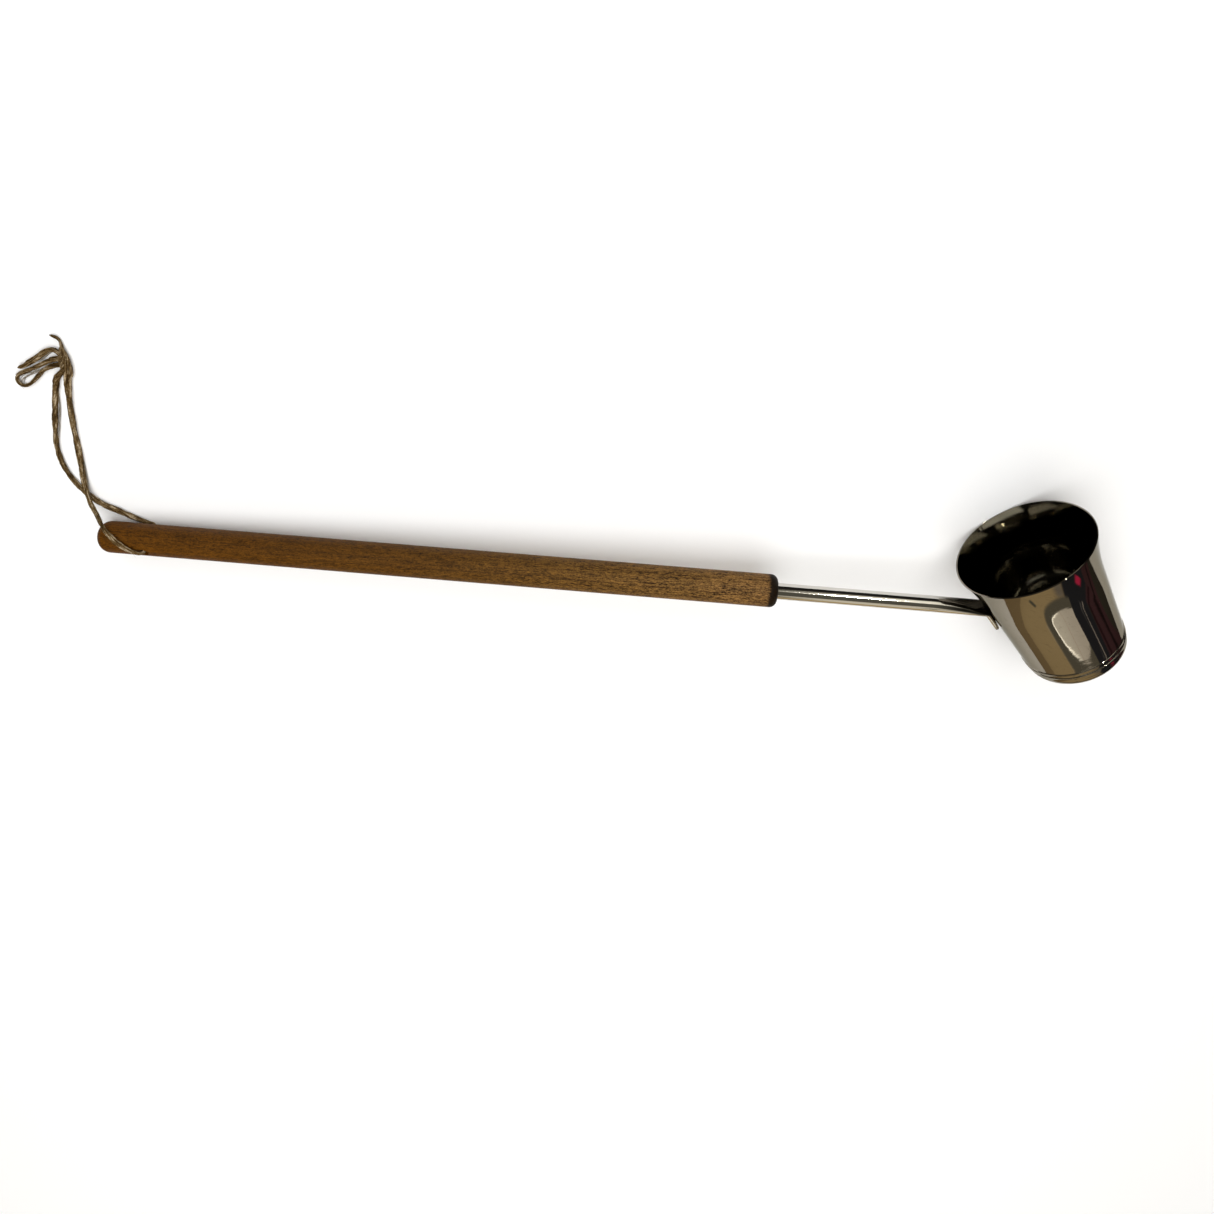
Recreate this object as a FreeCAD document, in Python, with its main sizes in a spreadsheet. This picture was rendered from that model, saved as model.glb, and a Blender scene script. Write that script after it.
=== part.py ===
import FreeCAD, Part
import math
import os

import Sketcher

# Sauna ladle: a small drawn steel cup, welded to a steel tube that is pressed flat at its
# end, with the tube's other end glued into a long beech handle. A jute twine goes through a
# hole near the handle's far end and is tied in a bow, to hang the ladle up.
#
# The handle, the tube and the cup are drawn in the ladle's own frame: X runs along the
# handle's axis from its far end towards the cup, and Z points to the side that the cup
# opens to. The ladle is then laid on its side, as it comes to rest on a table.

V = FreeCAD.Vector
X_AXIS, Y_AXIS, Z_AXIS = V(1, 0, 0), V(0, 1, 0), V(0, 0, 1)

# Driving sizes, in millimetres and degrees
SIZES = {
    "handle_length": 336.3,
    "handle_diameter": 16.0,
    "far_end_rounding": 5.5,
    "near_end_rounding": 3.5,
    "twine_hole_diameter": 4.6,
    "twine_hole_from_end": 24.5,
    "twine_hole_turn": 70.0,
    "twine_hole_easing": 0.6,
    "tube_diameter": 8.0,
    "tube_wall": 1.0,
    "tube_in_handle": 35.0,
    "glue_gap": 0.05,
    "glue_room": 1.5,
    "tube_reach": 99.6,
    "press_length": 23.0,
    "tongue_thickness": 2.0,
    "tongue_flat_run": 1.0,
    "tongue_bend_radius": 1.5,
    "tab_length": 9.0,
    "weld_gap": 0.05,
    "cup_height": 73.2,
    "rim_diameter": 61.3,
    "base_diameter": 45.3,
    "wall_taper": 4.2,
    "flare_start": 48.0,
    "base_edge_radius": 6.6,
    "sheet_thickness": 0.7,
    "cup_tilt": 36.55,
    "tube_height_on_cup": 47.1,
    "bead_radius": 0.45,
    "bead_proud": 0.25,
    "upper_bead_height": 11.1,
    "lower_bead_height": 8.4,
    "twine_diameter": 2.6,
    "bow_twine_diameter": 2.4,
    "tail_diameter": 1.6,
    "knot_length": 10.8,
    "knot_width": 5.6,
    "knot_height": 4.6,
    "knot_rounding": 1.8,
}

# The press closes along the tube as a parabola: its stations, as shares of its length
PRESS_STATIONS = (1 / 3, 2 / 3, 1)
VOID_STATIONS = (1 / 3, 2 / 3, 8 / 9)
# Half the width of the short arcs that the flats grow out of
FLAT_START = 0.3

doc = FreeCAD.newDocument("sauna_ladle")
sheet = doc.addObject("Spreadsheet::Sheet", "sizes")
for row, (alias, value) in enumerate(SIZES.items(), start=1):
    sheet.set(f"A{row}", alias)
    sheet.set(f"B{row}", str(value))
    sheet.setAlias(f"B{row}", alias)
doc.recompute()


def size(alias):
    """A driving size, read from the sheet."""
    return float(sheet.get(alias))


def in_plane(along, across):
    """A point of the ladle's upright plane."""
    return V(along, 0, across)


# Where the cup stands, worked out from where the tube's axis meets its wall
taper = math.radians(size("wall_taper"))
tilt = math.radians(size("cup_tilt"))
lean = tilt + taper
base_radius = size("base_diameter") / 2
rim_radius = size("rim_diameter") / 2
handle_radius = size("handle_diameter") / 2
cup_axis = in_plane(-math.sin(tilt), math.cos(tilt))
cup_side = in_plane(math.cos(tilt), math.sin(tilt))
wall_point = in_plane(size("handle_length") + size("tube_reach"), 0)
wall_radius = base_radius + math.tan(taper) * size("tube_height_on_cup")
cup_base = wall_point - cup_axis * size("tube_height_on_cup") + cup_side * wall_radius
cup_place = FreeCAD.Placement(cup_base, FreeCAD.Rotation(Y_AXIS, -size("cup_tilt")))

# Where the pressed tongue bends down along the cup's wall, on the tube's axis
bend_angle = math.pi / 2 - lean
bend_mid_radius = size("tongue_bend_radius") + size("tongue_thickness") / 2
wall_clearance = size("weld_gap") + size("tongue_thickness") / 2
bend_corner = wall_point.x - wall_clearance / math.cos(lean)
bend_tangent = bend_mid_radius * math.tan(bend_angle / 2)
press_end = bend_corner - bend_tangent - size("tongue_flat_run")
press_start = press_end - size("press_length")
tube_start = size("handle_length") - size("tube_in_handle")

# The base edge, as the ring of an arc that is tangent to the base and to the wall
base_edge = size("base_edge_radius")
base_ring = base_radius - base_edge * (1 - math.sin(taper)) / math.cos(taper)


def ring_reach(centre, axis, ring, edge, way):
    """How far a rounded ring reaches in a direction."""
    along = way.dot(axis)
    return centre.dot(way) + ring * math.sqrt(max(1 - along * along, 0)) + edge


def bead_ring(height):
    """The radius of the ring that a bead's section goes round on."""
    return base_radius + math.tan(taper) * height + size("bead_proud") - size("bead_radius")


def floor_reaches(way):
    """How far the handle's far end, the cup's foot and its rim reach in a direction."""
    rounding = size("far_end_rounding")
    end = X_AXIS * rounding
    lip = size("sheet_thickness") / 2
    rim = cup_base + cup_axis * (size("cup_height") - lip)
    # A mouth narrower than the wall curves in, and the cup then lies on the wall's end
    wall_end = cup_base + cup_axis * size("flare_start")
    wall_end_radius = base_radius + math.tan(taper) * size("flare_start")
    foot_reaches = [ring_reach(cup_base + cup_axis * base_edge, cup_axis, base_ring, base_edge, way)]
    for height in (size("lower_bead_height"), size("upper_bead_height")):
        bead = cup_base + cup_axis * height
        foot_reaches.append(ring_reach(bead, cup_axis, bead_ring(height), size("bead_radius"), way))
    return (
        ring_reach(end, X_AXIS, handle_radius - rounding, rounding, way),
        max(foot_reaches),
        max(
            ring_reach(rim, cup_axis, rim_radius - lip, lip, way),
            ring_reach(wall_end, cup_axis, wall_end_radius, 0, way),
        ),
    )


def upwards(rise, roll):
    """The way up in the ladle's frame, from the handle's rise and the ladle's roll."""
    level = math.cos(rise)
    return V(math.sin(rise), -math.sin(roll) * level, math.cos(roll) * level)


def settle(rise=0.04, roll=1.4, step=1e-6):
    """The way up at which all three touch the floor, by Newton's method."""

    def unevenness(at_rise, at_roll):
        end, foot, rim = floor_reaches(-upwards(at_rise, at_roll))
        return end - foot, end - rim

    for _ in range(40):
        f, g = unevenness(rise, roll)
        f_rise, g_rise = unevenness(rise + step, roll)
        f_roll, g_roll = unevenness(rise, roll + step)
        a, b = (f_rise - f) / step, (f_roll - f) / step
        c, d = (g_rise - g) / step, (g_roll - g) / step
        scale = a * d - b * c
        rise -= (f * d - g * b) / scale
        roll -= (a * g - c * f) / scale
    return upwards(rise, roll)


# The lying pose: the handle points along X, and the floor is at Z 0
up = settle()
ahead = (X_AXIS - up * up.x).normalize()
aside = up.cross(ahead)
lying = FreeCAD.Placement(FreeCAD.Matrix(*ahead, 0, *aside, 0, *up, 0, 0, 0, 0, 1))
lying.Base = Z_AXIS * max(floor_reaches(-up))


def bind(sketch, name, constraint, expression):
    """Add a dimension to a sketch and tie it to the sheet."""
    index = sketch.addConstraint(constraint)
    sketch.renameConstraint(index, name)
    sketch.setExpression(f"Constraints.{name}", expression)


def sketch_on(body, name, role, offset=None, turn=None):
    """A sketch on one of a body's origin planes, lifted or turned by expressions."""
    plane = next(f for f in body.Origin.OriginFeatures if f.Role == role)
    sketch = body.newObject("Sketcher::SketchObject", name)
    sketch.AttachmentSupport = [(plane, "")]
    sketch.MapMode = "FlatFace"
    if turn:
        sketch.AttachmentOffset = FreeCAD.Placement(V(), FreeCAD.Rotation(X_AXIS, 1))
        sketch.setExpression("AttachmentOffset.Rotation.Angle", turn)
    if offset:
        sketch.setExpression("AttachmentOffset.Base.z", offset)
    return sketch


def arc(centre, radius, start, end):
    """An arc, anticlockwise between two angles in radians."""
    return Part.ArcOfCircle(Part.Circle(centre, Z_AXIS, radius), start, end)


def add_chain(sketch, pieces, joins):
    """Add curves to a sketch and join their ends: True joins are tangent."""
    sketch.addGeometry(pieces, False)
    for first, first_end, second, second_end, smooth in joins:
        kind = "Tangent" if smooth else "Coincident"
        sketch.addConstraint(Sketcher.Constraint(kind, first, first_end, second, second_end))


def pin_to_origin(sketch, piece, end):
    sketch.addConstraint(Sketcher.Constraint("Coincident", piece, end, -1, 1))


def make_circle(sketch, diameter, expression):
    """A circle about the sketch's origin."""
    sketch.addGeometry(Part.Circle(V(), Z_AXIS, diameter / 2), False)
    pin_to_origin(sketch, 0, 3)
    bind(sketch, "diameter", Sketcher.Constraint("Diameter", 0, diameter), expression)


# Handle: a turned beech dowel with a blind bore for the tube and a cross hole for the twine
handle = doc.addObject("PartDesign::Body", "handle")
handle.Label = "handle"


def draw_handle_outline():
    length = size("handle_length")
    far, near = size("far_end_rounding"), size("near_end_rounding")
    sketch = sketch_on(handle, "handle_outline", "XY_Plane")
    quarter = math.pi / 2
    add_chain(
        sketch,
        [
            Part.LineSegment(V(0, 0), V(0, handle_radius - far)),
            arc(V(far, handle_radius - far), far, quarter, 2 * quarter),
            Part.LineSegment(V(far, handle_radius), V(length - near, handle_radius)),
            arc(V(length - near, handle_radius - near), near, 0, quarter),
            Part.LineSegment(V(length, handle_radius - near), V(length, 0)),
            Part.LineSegment(V(length, 0), V(0, 0)),
        ],
        [
            (0, 2, 1, 2, True),
            (1, 1, 2, 1, True),
            (2, 2, 3, 2, True),
            (3, 1, 4, 1, True),
            (4, 2, 5, 1, False),
            (5, 2, 0, 1, False),
        ],
    )
    pin_to_origin(sketch, 0, 1)
    sketch.addConstraint(Sketcher.Constraint("Vertical", 0))
    sketch.addConstraint(Sketcher.Constraint("Horizontal", 2))
    sketch.addConstraint(Sketcher.Constraint("Vertical", 4))
    sketch.addConstraint(Sketcher.Constraint("Horizontal", 5))
    bind(sketch, "far_rounding", Sketcher.Constraint("Radius", 1, far), "sizes.far_end_rounding")
    bind(sketch, "near_rounding", Sketcher.Constraint("Radius", 3, near), "sizes.near_end_rounding")
    bind(sketch, "length", Sketcher.Constraint("DistanceX", -1, 1, 4, 2, length), "sizes.handle_length")
    bind(
        sketch,
        "radius",
        Sketcher.Constraint("DistanceY", -1, 1, 2, 1, handle_radius),
        "sizes.handle_diameter / 2",
    )
    return sketch


handle_outline = draw_handle_outline()
dowel = handle.newObject("PartDesign::Revolution", "dowel")
dowel.Profile = handle_outline
dowel.ReferenceAxis = (handle_outline, ["H_Axis"])
dowel.Angle = 360

tube_bore_circle = sketch_on(handle, "tube_bore_circle", "YZ_Plane", offset="sizes.handle_length")
make_circle(
    tube_bore_circle,
    size("tube_diameter") + 2 * size("glue_gap"),
    "sizes.tube_diameter + 2 * sizes.glue_gap",
)
tube_bore = handle.newObject("PartDesign::Pocket", "tube_bore")
tube_bore.Profile = tube_bore_circle
tube_bore.Type = "Length"
tube_bore.setExpression("Length", "sizes.tube_in_handle + sizes.glue_room")

twine_hole_circle = sketch_on(
    handle, "twine_hole_circle", "XY_Plane", turn="-sizes.twine_hole_turn"
)
twine_hole_circle.addGeometry(
    Part.Circle(V(size("twine_hole_from_end"), 0), Z_AXIS, size("twine_hole_diameter") / 2), False
)
twine_hole_circle.addConstraint(Sketcher.Constraint("PointOnObject", 0, 3, -1))
bind(
    twine_hole_circle,
    "from_end",
    Sketcher.Constraint("DistanceX", -1, 1, 0, 3, size("twine_hole_from_end")),
    "sizes.twine_hole_from_end",
)
bind(
    twine_hole_circle,
    "diameter",
    Sketcher.Constraint("Diameter", 0, size("twine_hole_diameter")),
    "sizes.twine_hole_diameter",
)
twine_hole = handle.newObject("PartDesign::Pocket", "twine_hole")
twine_hole.Profile = twine_hole_circle
twine_hole.SideType = "Symmetric"
twine_hole.Type = "ThroughAll"
doc.recompute()


def hole_mouths(shape):
    """The names of the two edges where the twine hole comes out of the handle."""
    names = []
    for number, edge in enumerate(shape.Edges, start=1):
        off = abs(edge.CenterOfMass.x - size("twine_hole_from_end"))
        span = edge.BoundBox.XLength
        if off < 0.5 and abs(span - size("twine_hole_diameter")) < 0.1 and edge.isClosed():
            names.append(f"Edge{number}")
    return names


hole_easing = handle.newObject("PartDesign::Fillet", "hole_easing")
hole_easing.Base = (twine_hole, hole_mouths(twine_hole.Shape))
hole_easing.setExpression("Radius", "sizes.twine_hole_easing")


# Stem: a steel tube, its end pressed to a flat tongue and bent down along the cup's wall
stem = doc.addObject("PartDesign::Body", "stem")
stem.Label = "stem"


def draw_round_section(body, name, station, diameter, expression):
    """A circle in four arcs, so that the press can grow its flats from the short ones."""
    sketch = sketch_on(body, name, "YZ_Plane", offset=station)
    radius = diameter / 2
    lip = math.asin(FLAT_START / radius)
    top, bottom = math.pi / 2, 3 * math.pi / 2
    add_chain(
        sketch,
        [
            arc(V(), radius, top - lip, top + lip),
            arc(V(), radius, bottom + lip - 2 * math.pi, top - lip),
            arc(V(), radius, bottom - lip, bottom + lip),
            arc(V(), radius, top + lip, bottom - lip),
        ],
        [(0, 1, 1, 2, False), (1, 1, 2, 2, False), (2, 1, 3, 2, False)],
    )
    for piece in range(4):
        pin_to_origin(sketch, piece, 3)
    sketch.addConstraint(Sketcher.Constraint("Horizontal", 3, 1, 0, 1))
    bind(sketch, "radius", Sketcher.Constraint("Radius", 0, radius), expression)
    for piece, end in ((0, 1), (0, 2), (2, 1), (2, 2)):
        side = FLAT_START if (piece, end) in ((0, 1), (2, 2)) else -FLAT_START
        sketch.addConstraint(Sketcher.Constraint("DistanceX", -1, 1, piece, end, side))
    return sketch


def draw_oval_section(body, name, station, closed, inset="0"):
    """A pressed section: two flats and two round sides, with the tube's own girth.

    closed is the expression for its thickness, and inset draws it that far inside.
    """
    sketch = sketch_on(body, name, "YZ_Plane", offset=station)
    half_flat, radius = 3.0, 1.0
    right, left = V(half_flat, 0), V(-half_flat, 0)
    quarter = math.pi / 2
    add_chain(
        sketch,
        [
            Part.LineSegment(V(half_flat, radius), V(-half_flat, radius)),
            arc(right, radius, -quarter, quarter),
            Part.LineSegment(V(-half_flat, -radius), V(half_flat, -radius)),
            arc(left, radius, quarter, 3 * quarter),
        ],
        [
            (0, 1, 1, 2, True),
            (1, 1, 2, 2, True),
            (2, 1, 3, 2, True),
            (3, 1, 0, 2, True),
        ],
    )
    sketch.addConstraint(Sketcher.Constraint("Horizontal", 0))
    for piece in (1, 3):
        sketch.addConstraint(Sketcher.Constraint("PointOnObject", piece, 3, -1))
    half_flat_of = f"pi * (sizes.tube_diameter - ({closed})) / 4"
    bind(sketch, "half_thickness", Sketcher.Constraint("Radius", 1, radius), f"({closed}) / 2 - {inset}")
    bind(sketch, "right", Sketcher.Constraint("DistanceX", -1, 1, 1, 3, half_flat), half_flat_of)
    bind(sketch, "left", Sketcher.Constraint("DistanceX", 3, 3, -1, 1, half_flat), half_flat_of)
    return sketch


def pressed_thickness(share):
    """The expression for the tube's thickness at a share of the press."""
    loss = "(sizes.tube_diameter - sizes.tongue_thickness)"
    return f"sizes.tube_diameter - {loss} * {share:.6f}^2"


lean_of = "(sizes.cup_tilt + sizes.wall_taper)"
corner_of = (
    "(sizes.handle_length + sizes.tube_reach"
    f" - (sizes.weld_gap + sizes.tongue_thickness / 2) / cos({lean_of}))"
)
tangent_of = (
    f"((sizes.tongue_bend_radius + sizes.tongue_thickness / 2) * tan((90 - {lean_of}) / 2))"
)
press_end_of = f"({corner_of} - {tangent_of} - sizes.tongue_flat_run)"
press_start_of = f"({press_end_of} - sizes.press_length)"
tube_start_of = "(sizes.handle_length - sizes.tube_in_handle)"

tube_circle = draw_round_section(
    stem, "tube_circle", tube_start_of, size("tube_diameter"), "sizes.tube_diameter / 2"
)
tube = stem.newObject("PartDesign::Pad", "tube")
tube.Profile = tube_circle
tube.setExpression("Length", f"{press_start_of} - {tube_start_of}")

press_circle = draw_round_section(
    stem, "press_circle", press_start_of, size("tube_diameter"), "sizes.tube_diameter / 2"
)
press_ovals = [
    draw_oval_section(
        stem,
        f"press_oval_{number}",
        f"{press_start_of} + sizes.press_length * {share:.6f}",
        pressed_thickness(share),
    )
    for number, share in enumerate(PRESS_STATIONS, start=1)
]
press = stem.newObject("PartDesign::AdditiveLoft", "press")
press.Profile = press_circle
press.Sections = press_ovals


def draw_tongue_path():
    """The middle line of the tongue: along the tube, round the bend and down the wall."""
    sketch = sketch_on(stem, "tongue_path", "XZ_Plane")
    down = V(math.cos(bend_angle), -math.sin(bend_angle))
    bend_start = V(bend_corner - bend_tangent, 0)
    bend_end = V(bend_corner, 0) + down * bend_tangent
    quarter = math.pi / 2
    add_chain(
        sketch,
        [
            Part.LineSegment(V(press_end, 0), bend_start),
            arc(bend_start - V(0, bend_mid_radius), bend_mid_radius, quarter - bend_angle, quarter),
            Part.LineSegment(bend_end, bend_end + down * size("tab_length")),
        ],
        [(0, 2, 1, 2, True), (1, 1, 2, 1, True)],
    )
    sketch.addConstraint(Sketcher.Constraint("PointOnObject", 0, 1, -1))
    sketch.addConstraint(Sketcher.Constraint("Horizontal", 0))
    bind(sketch, "start", Sketcher.Constraint("DistanceX", -1, 1, 0, 1, press_end), press_end_of)
    bind(
        sketch,
        "bend_start",
        Sketcher.Constraint("DistanceX", -1, 1, 0, 2, bend_start.x),
        f"{corner_of} - {tangent_of}",
    )
    bind(
        sketch,
        "bend_radius",
        Sketcher.Constraint("Radius", 1, bend_mid_radius),
        "sizes.tongue_bend_radius + sizes.tongue_thickness / 2",
    )
    bind(
        sketch,
        "tab",
        Sketcher.Constraint("Distance", 2, size("tab_length")),
        "sizes.tab_length",
    )
    bind(
        sketch,
        "bend_depth",
        Sketcher.Constraint("DistanceY", 1, 3, 2, 1, bend_mid_radius * math.cos(bend_angle)),
        f"(sizes.tongue_bend_radius + sizes.tongue_thickness / 2) * sin({lean_of})",
    )
    return sketch


tongue_oval = draw_oval_section(stem, "tongue_oval", press_end_of, "sizes.tongue_thickness")
tongue = stem.newObject("PartDesign::AdditivePipe", "tongue")
tongue.Profile = tongue_oval
tongue.Spine = draw_tongue_path()
doc.recompute()


bore_circle = draw_round_section(
    stem,
    "bore_circle",
    tube_start_of,
    size("tube_diameter") - 2 * size("tube_wall"),
    "sizes.tube_diameter / 2 - sizes.tube_wall",
)
bore = stem.newObject("PartDesign::Pocket", "bore")
bore.Profile = bore_circle
bore.Type = "Length"
bore.Reversed = True
bore.setExpression("Length", f"{press_start_of} - {tube_start_of}")

void_circle = draw_round_section(
    stem,
    "void_circle",
    press_start_of,
    size("tube_diameter") - 2 * size("tube_wall"),
    "sizes.tube_diameter / 2 - sizes.tube_wall",
)
void_ovals = [
    draw_oval_section(
        stem,
        f"void_oval_{number}",
        f"{press_start_of} + sizes.press_length * {share:.6f}",
        pressed_thickness(share),
        inset="sizes.tube_wall",
    )
    for number, share in enumerate(VOID_STATIONS, start=1)
]
press_void = stem.newObject("PartDesign::SubtractiveLoft", "press_void")
press_void.Profile = void_circle
press_void.Sections = void_ovals

# Cup: drawn from one sheet, with a flared mouth, two fine beads and a well rounded base
cup = doc.addObject("PartDesign::Body", "cup")
cup.Label = "cup"


def draw_cup_section():
    """Half the sheet's section: base, base edge, tapered wall, flared mouth and round lip."""
    sketch = sketch_on(cup, "cup_section", "XZ_Plane")
    height, flare_start = size("cup_height"), size("flare_start")
    sheet_thickness = size("sheet_thickness")
    half = sheet_thickness / 2
    out = V(math.cos(taper), -math.sin(taper))
    edge_centre = V(base_ring, base_edge)
    outer_foot = edge_centre + out * base_edge
    inner_foot = edge_centre + out * (base_edge - sheet_thickness)
    outer_flare = V(base_radius + math.tan(taper) * flare_start, flare_start)
    inner_flare = outer_flare - out * sheet_thickness
    lip_centre = V(rim_radius - half, height - half)
    chord = lip_centre - outer_flare
    flare_radius = (chord.dot(chord) - half**2) / (2 * chord.dot(out) + sheet_thickness)
    flare_centre = outer_flare + out * flare_radius
    inwards = lip_centre - flare_centre
    lip_angle = math.atan2(inwards.y, inwards.x)
    # The mouth's arcs run from the lip down, or up to it where the mouth curves in
    flares = flare_radius > 0
    foot_end, lip_end = (2, 1) if flares else (1, 2)
    mouth_span = (lip_angle, math.pi - taper) if flares else (-taper, lip_angle)
    lip_start = lip_angle - math.pi if flares else lip_angle
    add_chain(
        sketch,
        [
            Part.LineSegment(V(0, 0), V(base_ring, 0)),
            arc(edge_centre, base_edge, -math.pi / 2, -taper),
            Part.LineSegment(outer_foot, outer_flare),
            arc(flare_centre, abs(flare_radius), *mouth_span),
            arc(lip_centre, half, lip_start, lip_start + math.pi),
            arc(flare_centre, abs(flare_radius + sheet_thickness), *mouth_span),
            Part.LineSegment(inner_flare, inner_foot),
            arc(edge_centre, base_edge - sheet_thickness, -math.pi / 2, -taper),
            Part.LineSegment(V(base_ring, sheet_thickness), V(0, sheet_thickness)),
            Part.LineSegment(V(0, sheet_thickness), V(0, 0)),
        ],
        [
            (0, 2, 1, 1, True),
            (1, 2, 2, 1, True),
            (2, 2, 3, foot_end, True),
            (3, lip_end, 4, 1, True),
            (4, 2, 5, lip_end, True),
            (5, foot_end, 6, 1, True),
            (6, 2, 7, 2, True),
            (7, 1, 8, 1, True),
            (8, 2, 9, 1, False),
            (9, 2, 0, 1, False),
        ],
    )
    pin_to_origin(sketch, 0, 1)
    sketch.addConstraint(Sketcher.Constraint("Horizontal", 0))
    sketch.addConstraint(Sketcher.Constraint("Horizontal", 8))
    sketch.addConstraint(Sketcher.Constraint("Vertical", 9))
    sketch.addConstraint(Sketcher.Constraint("Coincident", 1, 3, 7, 3))
    sketch.addConstraint(Sketcher.Constraint("Coincident", 3, 3, 5, 3))
    sketch.addConstraint(Sketcher.Constraint("Parallel", 2, 6))
    sketch.addGeometry(Part.Point(V(base_radius, 0)), True)
    sketch.addConstraint(Sketcher.Constraint("PointOnObject", 10, 1, -1))
    sketch.addConstraint(Sketcher.Constraint("PointOnObject", 10, 1, 2))
    bind(
        sketch,
        "base_radius",
        Sketcher.Constraint("DistanceX", -1, 1, 10, 1, base_radius),
        "sizes.base_diameter / 2",
    )
    bind(sketch, "base_edge", Sketcher.Constraint("Radius", 1, base_edge), "sizes.base_edge_radius")
    bind(
        sketch,
        "taper_run",
        Sketcher.Constraint("DistanceX", 10, 1, 2, 2, math.tan(taper) * flare_start),
        "tan(sizes.wall_taper) * sizes.flare_start",
    )
    bind(
        sketch,
        "flare_start",
        Sketcher.Constraint("DistanceY", -1, 1, 2, 2, flare_start),
        "sizes.flare_start",
    )
    bind(
        sketch,
        "sheet_thickness",
        Sketcher.Constraint("DistanceY", 0, 1, 8, 2, sheet_thickness),
        "sizes.sheet_thickness",
    )
    bind(
        sketch,
        "lip_across",
        Sketcher.Constraint("DistanceX", -1, 1, 4, 3, rim_radius - half),
        "(sizes.rim_diameter - sizes.sheet_thickness) / 2",
    )
    bind(
        sketch,
        "lip_height",
        Sketcher.Constraint("DistanceY", -1, 1, 4, 3, height - half),
        "sizes.cup_height - sizes.sheet_thickness / 2",
    )
    return sketch


cup_section = draw_cup_section()
cup_wall = cup.newObject("PartDesign::Revolution", "cup_wall")
cup_wall.Profile = cup_section
cup_wall.ReferenceAxis = (cup_section, ["V_Axis"])
cup_wall.Angle = 360
doc.recompute()


def add_bead(name, height_alias):
    """A fine rolled bead that stands proud of the tapered wall."""
    sketch = sketch_on(cup, f"{name}_circle", "XZ_Plane")
    height = size(height_alias)
    out = bead_ring(height)
    sketch.addGeometry(Part.Circle(V(out, height), Z_AXIS, size("bead_radius")), False)
    bind(
        sketch,
        "radius",
        Sketcher.Constraint("Radius", 0, size("bead_radius")),
        "sizes.bead_radius",
    )
    bind(
        sketch,
        "height",
        Sketcher.Constraint("DistanceY", -1, 1, 0, 3, height),
        f"sizes.{height_alias}",
    )
    bind(
        sketch,
        "out",
        Sketcher.Constraint("DistanceX", -1, 1, 0, 3, out),
        f"sizes.base_diameter / 2 + tan(sizes.wall_taper) * sizes.{height_alias}"
        " + sizes.bead_proud - sizes.bead_radius",
    )
    bead = cup.newObject("PartDesign::Revolution", name)
    bead.Profile = sketch
    bead.ReferenceAxis = (sketch, ["V_Axis"])
    bead.Angle = 360


add_bead("upper_bead", "upper_bead_height")
add_bead("lower_bead", "lower_bead_height")
doc.recompute()

# Lay the ladle down, and centre it over the origin
handle.Placement = lying
stem.Placement = lying
cup.Placement = lying.multiply(cup_place)
doc.recompute()


def laid_box(bodies):
    """The box round the laid bodies."""
    box = FreeCAD.BoundBox()
    for body in bodies:
        box.add(body.Shape.optimalBoundingBox(False))
    return box


ladle_box = laid_box((handle, stem, cup))
centring = V(-ladle_box.Center.x, -ladle_box.Center.y, -ladle_box.ZMin)
for body in (handle, stem, cup):
    body.Placement = FreeCAD.Placement(centring, FreeCAD.Rotation()).multiply(body.Placement)
doc.recompute()

# Twine: it lies on the floor beside the handle, so its routes are points measured from
# under the middle of the twine hole, and those near the handle also follow its height
hole_middle = handle.Placement.multVec(X_AXIS * size("twine_hole_from_end"))
twine_place = FreeCAD.Placement(V(hole_middle.x, hole_middle.y, 0), FreeCAD.Rotation())


def at_handle(*offsets):
    """Points measured from the middle of the twine hole."""
    return [V(x, y, hole_middle.z + z) for x, y, z in offsets]


def on_floor(*offsets):
    """Points measured from the floor under the middle of the twine hole."""
    return [V(*offset) for offset in offsets]


FRONT_STRAND = at_handle(
    (0, 0, 0),
    (-0.12, -1.8, 3.15),
    (-0.24, -3.55, 6.3),
    (-1.55, -3.95, 8.2),
    (-3.5, -3.35, 9.25),
    (-6.4, -1.6, 9.35),
    (-9.6, 0.5, 9.15),
    (-12.8, 3.0, 8.75),
    (-16.1, 5.8, 7.2),
    (-19.5, 8.6, 4.3),
    (-22.8, 10.4, 0.7),
    (-26.2, 12.9, -2.2),
    (-29.2, 16.8, -3.8),
) + on_floor(
    (-30.9, 23.5, 2.7),
    (-31.0, 33.0, 1.4),
    (-30.4, 46.0, 1.35),
    (-30.2, 58.0, 1.35),
    (-29.2, 69.0, 1.35),
    (-28.2, 76.5, 1.4),
    (-26.4, 83.0, 2.0),
)
BACK_STRAND = at_handle(
    (0, 0, 0),
    (0.12, 1.8, -3.15),
    (0.2, 3.9, -6.7),
    (-0.1, 6.3, -7.35),
) + on_floor(
    (-2.2, 8.0, 1.35),
    (-5.4, 8.8, 1.35),
    (-10.6, 9.4, 1.35),
    (-18.2, 11.5, 1.35),
    (-27.2, 15.7, 1.35),
    (-35.2, 24.0, 1.35),
    (-39.9, 32.6, 1.35),
    (-41.3, 43.0, 1.35),
    (-39.8, 52.5, 1.35),
    (-37.3, 63.5, 1.35),
    (-34.8, 73.0, 1.35),
    (-33.2, 78.3, 1.4),
    (-31.0, 80.7, 1.5),
    (-28.5, 82.9, 1.8),
)
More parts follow.
